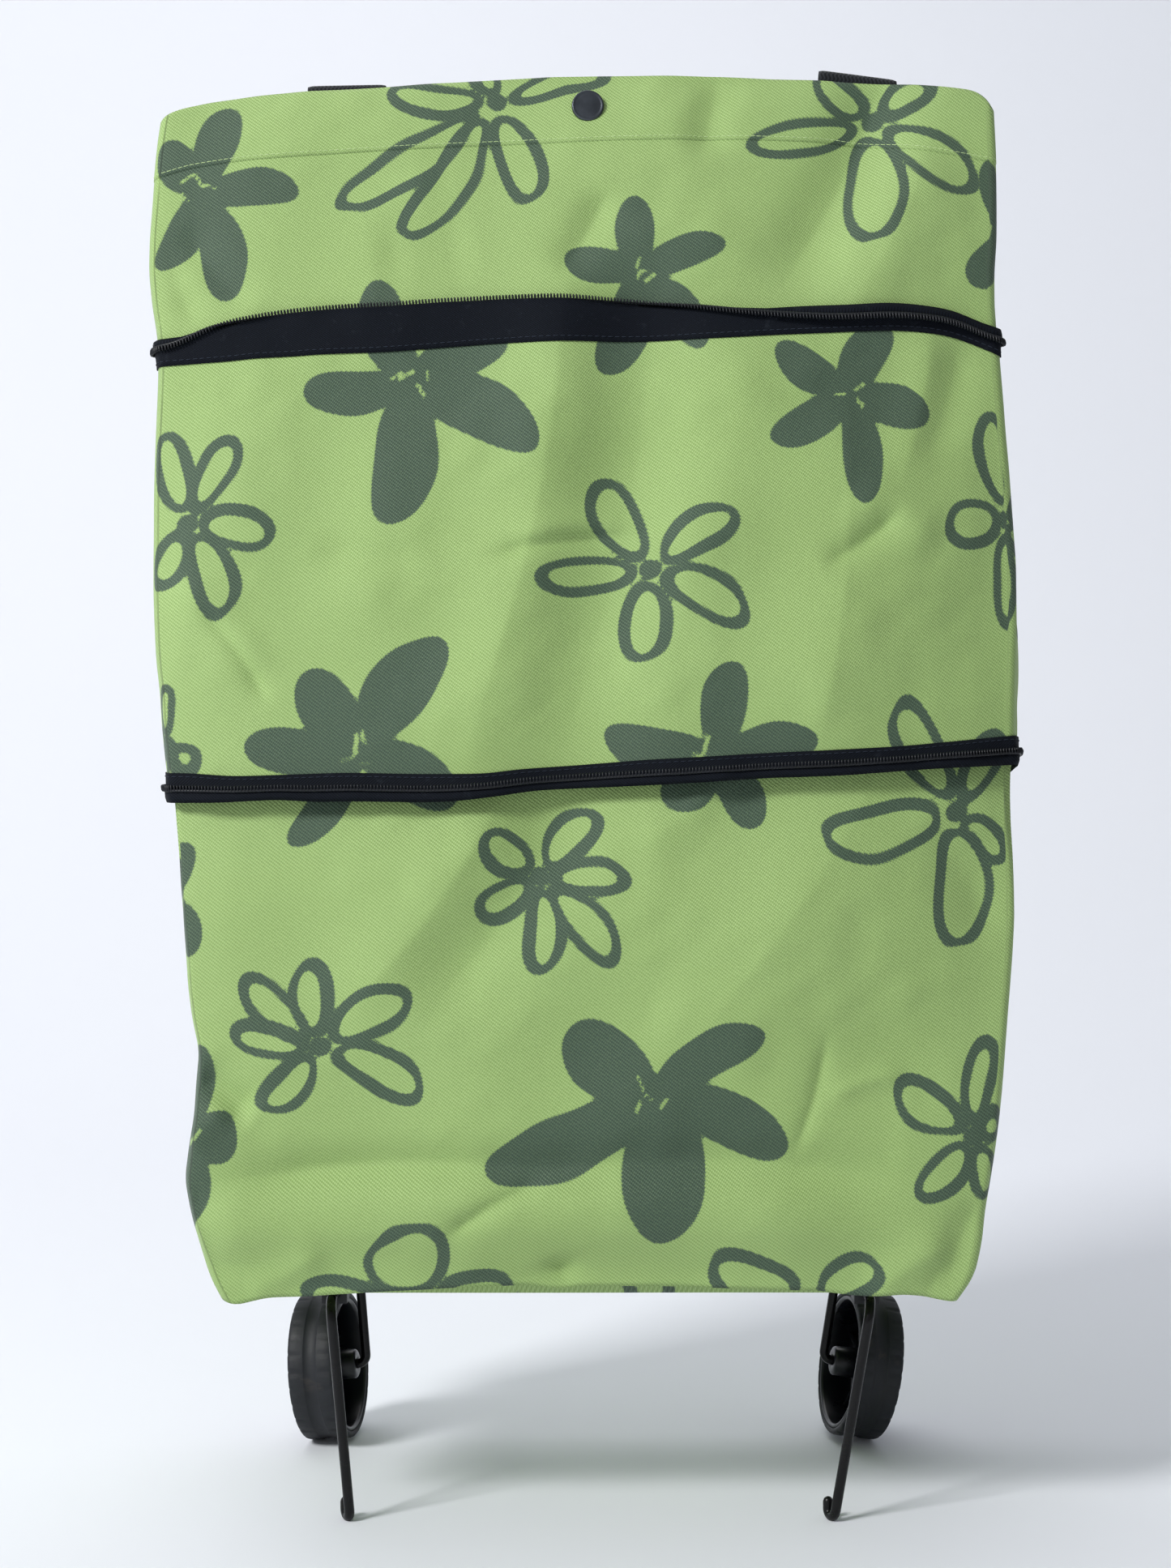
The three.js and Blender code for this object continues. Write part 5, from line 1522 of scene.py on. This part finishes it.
for name, s, fx, lean in FRAMES:
    l, t_ = math.radians(lean), math.radians(TOE)
    down = np.array([-s * math.sin(l), 0, -math.cos(l)])
    out = np.array([s * math.cos(l), 0, -math.sin(l)])
    hinge = np.array([fx, 0, ROD_Z])
    axis = np.array([s * math.cos(l) * math.cos(t_), math.sin(t_), -math.sin(l) * math.cos(t_)])
    tilt = math.sqrt(1 - axis[2] ** 2)
    zc = WHEEL_R * tilt + WHEEL_W / 2 * abs(axis[2])
    d = (ROD_Z + OFF * out[2] - zc) / -down[2]
    centre = hinge + down * d + out * OFF
    centre[1] = AXLE_Y
    at = lambda dd, y, o_=0.0: hinge + down * dd + out * o_ + np.array([0, y, 0])
    leng = (ROD_Z - WIRE_R + 0.13) / math.cos(l)
    hx, hy = -2.4, 5.2
    bottom = at(leng, FOOT_Y)
    leg_low = at(leng - 3.2, FOOT_Y)
    mid_ = bottom + np.array([hx / 2, hy / 2, 0])
    hook_low = bottom + np.array([hx, hy, 3.0])
    hook_end = hook_low + np.array([0, 0, 2.6])
    B = 9.0
    pts = [hook_end[None, :], line_pts(hook_end, hook_low, 1.2), bez(hook_low, bottom + np.array([hx, hy, 0]), mid_, 7), bez(mid_, bottom, leg_low, 7)]
    leg_top = at(B, FOOT_Y)
    pts.append(line_pts(leg_low, leg_top, 4.0))
    rod_f, rod_b = at(0, FOOT_Y + B), at(0, AXLE_Y - B)
    pts += [bez(leg_top, at(0, FOOT_Y), rod_f, 14), line_pts(rod_f, rod_b, 4.0)]
    drop_top = at(B, AXLE_Y)
    pts.append(bez(rod_b, at(0, AXLE_Y), drop_top, 14))
    root = centre - axis * OFF
    dv = drop_top - root
    drop_end = root + dv / np.linalg.norm(dv) * 4.2
    pts.append(line_pts(drop_top, drop_end, 4.0))
    stub = root + axis * 4.2
    pts += [bez(drop_end, root, stub, 10), line_pts(stub, centre + axis * 13.6, 3.0)]
    path = np.concatenate(pts)
    v, f = tube(path, WIRE_R, 22)
    o = make(f"frame_wire_{name}_round", v, f)
    dress(o, MAT_WIRE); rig.ride(o, f"frame_{name}"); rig.replaces(o, f"frame_wire_{name}"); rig.slot(o, "coated_wire")

    half = WHEEL_W / 2
    # cup wheel, open towards the frame
    rim = WHEEL_R - TYRE_T
    prof = [(2.5, -half - 3.2), (3.0, -half - 3.4), (5.8, -half - 3.4), (6.6, -half - 2.9), (7.0, -half - 2.2), (7.4, 0.0), (7.7, 5.0), (8.6, 5.9), (12.0, 6.2), (26.0, 6.5), (28.4, 6.2),
            (29.3, 4.8), (29.5, 0.0), (29.6, -half + 1.6), (30.0, -half + 0.6), (30.9, -half + 0.25), (31.7, -half + 0.5), (31.9, -half + 1.4), (31.9, half - 1.4), (31.6, half - 0.6),
            (30.4, half - 0.3), (29.4, half - 0.8), (28.9, half - 1.8), (27.4, 8.8), (24.0, 8.4), (12.0, 8.3), (9.2, 8.7), (8.0, 9.4), (6.4, 9.6), (3.0, 9.6), (2.5, 9.3)]
    parts = Parts()
    parts.add(*lathe(prof, axis, centre, 96))
    zax = axis
    xax = np.cross([0.0, 0.0, 1.0], zax); xax /= np.linalg.norm(xax)
    yax = np.cross(zax, xax)
    for k in range(5):
        a = k / 5 * 2 * math.pi + 0.3
        rd = math.cos(a) * xax + math.sin(a) * yax
        td = np.cross(zax, rd)
        rings = []
        for r_, lo in ((7.0, -2.0), (12.0, -1.0), (20.0, 0.8), (29.8, 0.2)):
            ring = []
            for w_, h_ in ((-1.15, 6.6), (-1.15, lo + 0.7), (-0.55, lo), (0.55, lo), (1.15, lo + 0.7), (1.15, 6.6)):
                ring.append(centre + rd * r_ + td * w_ + zax * h_)
            rings.append(ring)
        parts.add(*sweep_rows(rings))
    o = parts.make(f"wheel_{name}_cup")
    dress(o, MAT_WHEEL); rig.ride(o, f"wheel_{name}"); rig.replaces(o, f"wheel_{name}"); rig.slot(o, "wheel_plastic")
    # tread ring: a shallow band down its middle and a few moulded nicks at its edges
    R = WHEEL_R
    prof = [(32.1, -half + 0.25), (33.0, -half), (34.0, -half + 0.15), (34.6, -half + 0.6), (34.9, -half + 1.5), (35.0, -half + 3.0), (35.0, -3.4), (34.85, -3.0), (34.55, -2.7), (34.5, 0.0),
            (34.55, 2.7), (34.85, 3.0), (35.0, 3.4), (35.0, half - 3.0), (34.9, half - 1.5), (34.6, half - 0.6), (34.0, half - 0.15), (33.0, half), (32.1, half - 0.25), (32.1, 0.0)]
    v, f = lathe(prof, axis, centre, 180)
    rel = v - centre
    h_ = rel @ axis
    ang = np.arctan2(rel @ yax, rel @ xax)
    rad_ = np.linalg.norm(rel - h_[:, None] * axis, axis=1)
    nick = (np.abs(((ang / (2 * math.pi) * 26) % 1) - 0.5) < 0.09) & (np.abs(h_) > half - 3.6) & (rad_ > 34.0)
    dirn = (rel - h_[:, None] * axis) / np.maximum(rad_, 1e-6)[:, None]
    v = v - dirn * (nick * 0.55)[:, None]
    o = make(f"tyre_{name}_tread", v, f)
    dress(o, MAT_TREAD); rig.ride(o, f"wheel_{name}"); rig.replaces(o, f"tyre_{name}"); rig.slot(o, "tyre_rubber")
    v, f = lathe([(2.55, 10.1), (5.2, 10.1), (5.5, 10.5), (5.4, 12.2), (4.9, 13.6), (3.8, 14.9), (2.2, 15.6), (0.0, 15.8), (0.0, 14.3), (2.3, 14.2), (2.55, 13.9)], axis, centre, 40)
    o = make(f"axle_cap_{name}_dome", v, f)
    dress(o, MAT_CAP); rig.ride(o, f"frame_{name}"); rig.replaces(o, f"axle_cap_{name}"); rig.slot(o, "axle_cap")


# --------------------------------------------------------------- carried parts
def polish(node, mat, body, slot_name, bevel=0.4, segments=3):
    """A finer copy of a CAD piece with eased edges, in the same place and size."""
    src = frame["nodes"][node] if isinstance(frame["nodes"], dict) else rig.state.nodes[node]
    me = src.data.copy()
    o = bpy.data.objects.new(node + "_moulded", me)
    collection.objects.link(o)
    o.matrix_world = src.matrix_world.copy()
    import bmesh
    bm = bmesh.new()
    bm.from_mesh(me)
    bmesh.ops.remove_doubles(bm, verts=bm.verts, dist=1e-6)
    bmesh.ops.dissolve_limit(bm, angle_limit=math.radians(3), verts=bm.verts, edges=bm.edges)
    bm.to_mesh(me)
    bm.free()
    mod = o.modifiers.new("ease", "BEVEL")
    mod.width = bevel / 1000
    mod.segments = segments
    mod.limit_method = "ANGLE"
    mod.angle_limit = math.radians(32)
    bpy.context.view_layer.update()
    dg = bpy.context.evaluated_depsgraph_get()
    new = bpy.data.meshes.new_from_object(o.evaluated_get(dg))
    o.modifiers.clear()
    o.data = new
    new.polygons.foreach_set("use_smooth", [True] * len(new.polygons))
    for key in list(new.keys()):
        del new[key]
    new.set_sharp_from_angle(angle=math.radians(35))
    dress(o, mat)
    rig.ride(o, body)
    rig.replaces(o, node)
    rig.slot(o, slot_name)
    return o


polish("base_board", MAT_PLASTIC, "base", "moulded_plastic", 0.5)
for side in ("left", "right"):
    polish(f"hinge_plate_{side}", MAT_PLASTIC, "base", "moulded_plastic", 0.5)
    for where in ("front", "rear"):
        polish(f"hinge_saddle_{where}_{side}", MAT_PLASTIC, "base", "moulded_plastic", 0.45)
        polish(f"hinge_rivet_{where}_{side}", MAT_RIVET, "base", "rivet_steel", 0.15, 2)
for which in ("upper", "lower"):
    polish(f"{which}_zip_slider", MAT_ZIPMETAL, f"{which}_slider", "zip_slider_metal", 0.5)
    polish(f"{which}_zip_pull_tab", MAT_ZIPMETAL, f"{which}_pull", "zip_slider_metal", 0.3)


# --------------------------------------------------------------- declarations
def area_of(o):
    return sum(p.area for p in o.data.polygons) / 2


for o, held, rests, per in ((base_cloth, "hung", ["mid_cloth"], per_b), (mid_cloth, "hung", ["hem_cloth"], per_m),
                            (top_cloth, "hung", ["hem_cloth"], per_t), (hem_cloth, "stretched", ["top_cloth"], per_h)):
    A = area_of(o)
    h = {"base_cloth": 0.226, "mid_cloth": 0.194, "top_cloth": 0.098, "hem_cloth": 0.034}[o.name]
    w = {"base_cloth": 1.02, "mid_cloth": 1.02, "top_cloth": 1.02, "hem_cloth": 1.02}[o.name]
    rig.sheet(o, flat=(w, h), held=held, rests_on=rests)
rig.sheet(bottom_cloth, flat=(0.34, 0.18), held="laid", rests_on=["base_board_moulded"])

# --------------------------------------------------------------- studio
def floor():
    n = 60
    ys = np.concatenate([np.linspace(-3000, 900, 20), 900 + 1400 * np.sin(np.linspace(0, math.pi / 2, 28))[1:], ])
    zs = np.concatenate([np.zeros(20), (1400 * (1 - np.cos(np.linspace(0, math.pi / 2, 28))))[1:]])
    ys = np.append(ys, 2300.0)
    zs = np.append(zs, 4200.0)
    xs = np.linspace(-4200, 4200, 12)
    V = np.array([[x, y, z] for y, z in zip(ys, zs) for x in xs])
    V = V - np.array([8.45, -10.79, 0.0]) + np.array([0, 0, 0.0])
    V[:, 2] += 0.2
    o = make("studio_floor", V, grid_faces(len(ys), 12, False))
    m = Mat("studio_paper")
    nz = m.noise(m.coord("Object"), 1.2, 3.0)
    m.set(Base_Color=m.mix(nz, srgb(230, 233, 239), srgb(234, 236, 242)), Roughness=0.85)
    m.b.inputs["Specular IOR Level"].default_value = 0.2
    dress(o, m.m)
    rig.stage(o)


floor()


def area_light(name, loc, target, size, power, color=(1, 1, 1), size_y=None):
    d = bpy.data.lights.new(name, "AREA")
    d.shape = "RECTANGLE"
    d.size = size
    d.size_y = size_y or size
    d.energy = power
    d.color = color
    o = bpy.data.objects.new(name, d)
    o.location = loc
    o.rotation_euler = (Vector(target) - Vector(loc)).to_track_quat("-Z", "Y").to_euler()
    collection.objects.link(o)
    return o


area_light("key", (-1.95, -1.8, 2.2), (0.0, 0, 0.4), 0.8, 86, (1.0, 0.995, 0.99))
area_light("back", (-0.55, 1.5, 2.8), (-0.05, 1.6, 0.2), 2.4, 32, (1.0, 0.995, 0.99))
world = bpy.data.worlds.new("studio")
bpy.context.scene.world = world
world.use_nodes = True
bg = world.node_tree.nodes["Background"]
wt = world.node_tree
w_geo = wt.nodes.new("ShaderNodeNewGeometry")
w_sep = wt.nodes.new("ShaderNodeSeparateXYZ")
w_map = wt.nodes.new("ShaderNodeMapRange")
wt.links.new(w_geo.outputs["Incoming"], w_sep.inputs[0])
wt.links.new(w_sep.outputs[0], w_map.inputs["Value"])
w_map.inputs["From Min"].default_value = -1.0
w_map.inputs["From Max"].default_value = 1.0
w_map.inputs["To Min"].default_value = 0.24
w_map.inputs["To Max"].default_value = 0.51
wt.links.new(w_map.outputs[0], bg.inputs[1])
bg.inputs[0].default_value = (0.94, 0.965, 1.0, 1.0)
w_path = wt.nodes.new("ShaderNodeLightPath")
w_pale = wt.nodes.new("ShaderNodeBackground")
w_pale.inputs[0].default_value = (0.80, 0.83, 0.88, 1.0)
w_pale.inputs[1].default_value = 0.95
w_mix = wt.nodes.new("ShaderNodeMixShader")
wt.links.new(w_path.outputs["Is Camera Ray"], w_mix.inputs[0])
wt.links.new(bg.outputs[0], w_mix.inputs[1])
wt.links.new(w_pale.outputs[0], w_mix.inputs[2])
wt.links.new(w_mix.outputs[0], wt.nodes["World Output"].inputs[0])
bpy.context.scene.view_settings.view_transform = "Standard"
bpy.context.scene.view_settings.look = "None"

cam_d = bpy.data.cameras.new("camera")
cam = bpy.data.objects.new("camera", cam_d)
cam_d.sensor_fit = "VERTICAL"
cam_d.sensor_height = 36.0
cam_d.sensor_width = 36.0
cam_d.lens = 3416.6 / 1935 * 36.0
cam_d.clip_start = 0.02
cam_d.clip_end = 50
cam.location = W((-4.7, -1270.0, 354.9))
cam.rotation_euler = (math.radians(90 - 1.546), 0, 0)
collection.objects.link(cam)
bpy.context.scene.camera = cam

with open("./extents.json", "w") as fh:
    json.dump({"cad": cad_lo_hi, "visual": [list(map(float, c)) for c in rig.bounds()]}, fh)
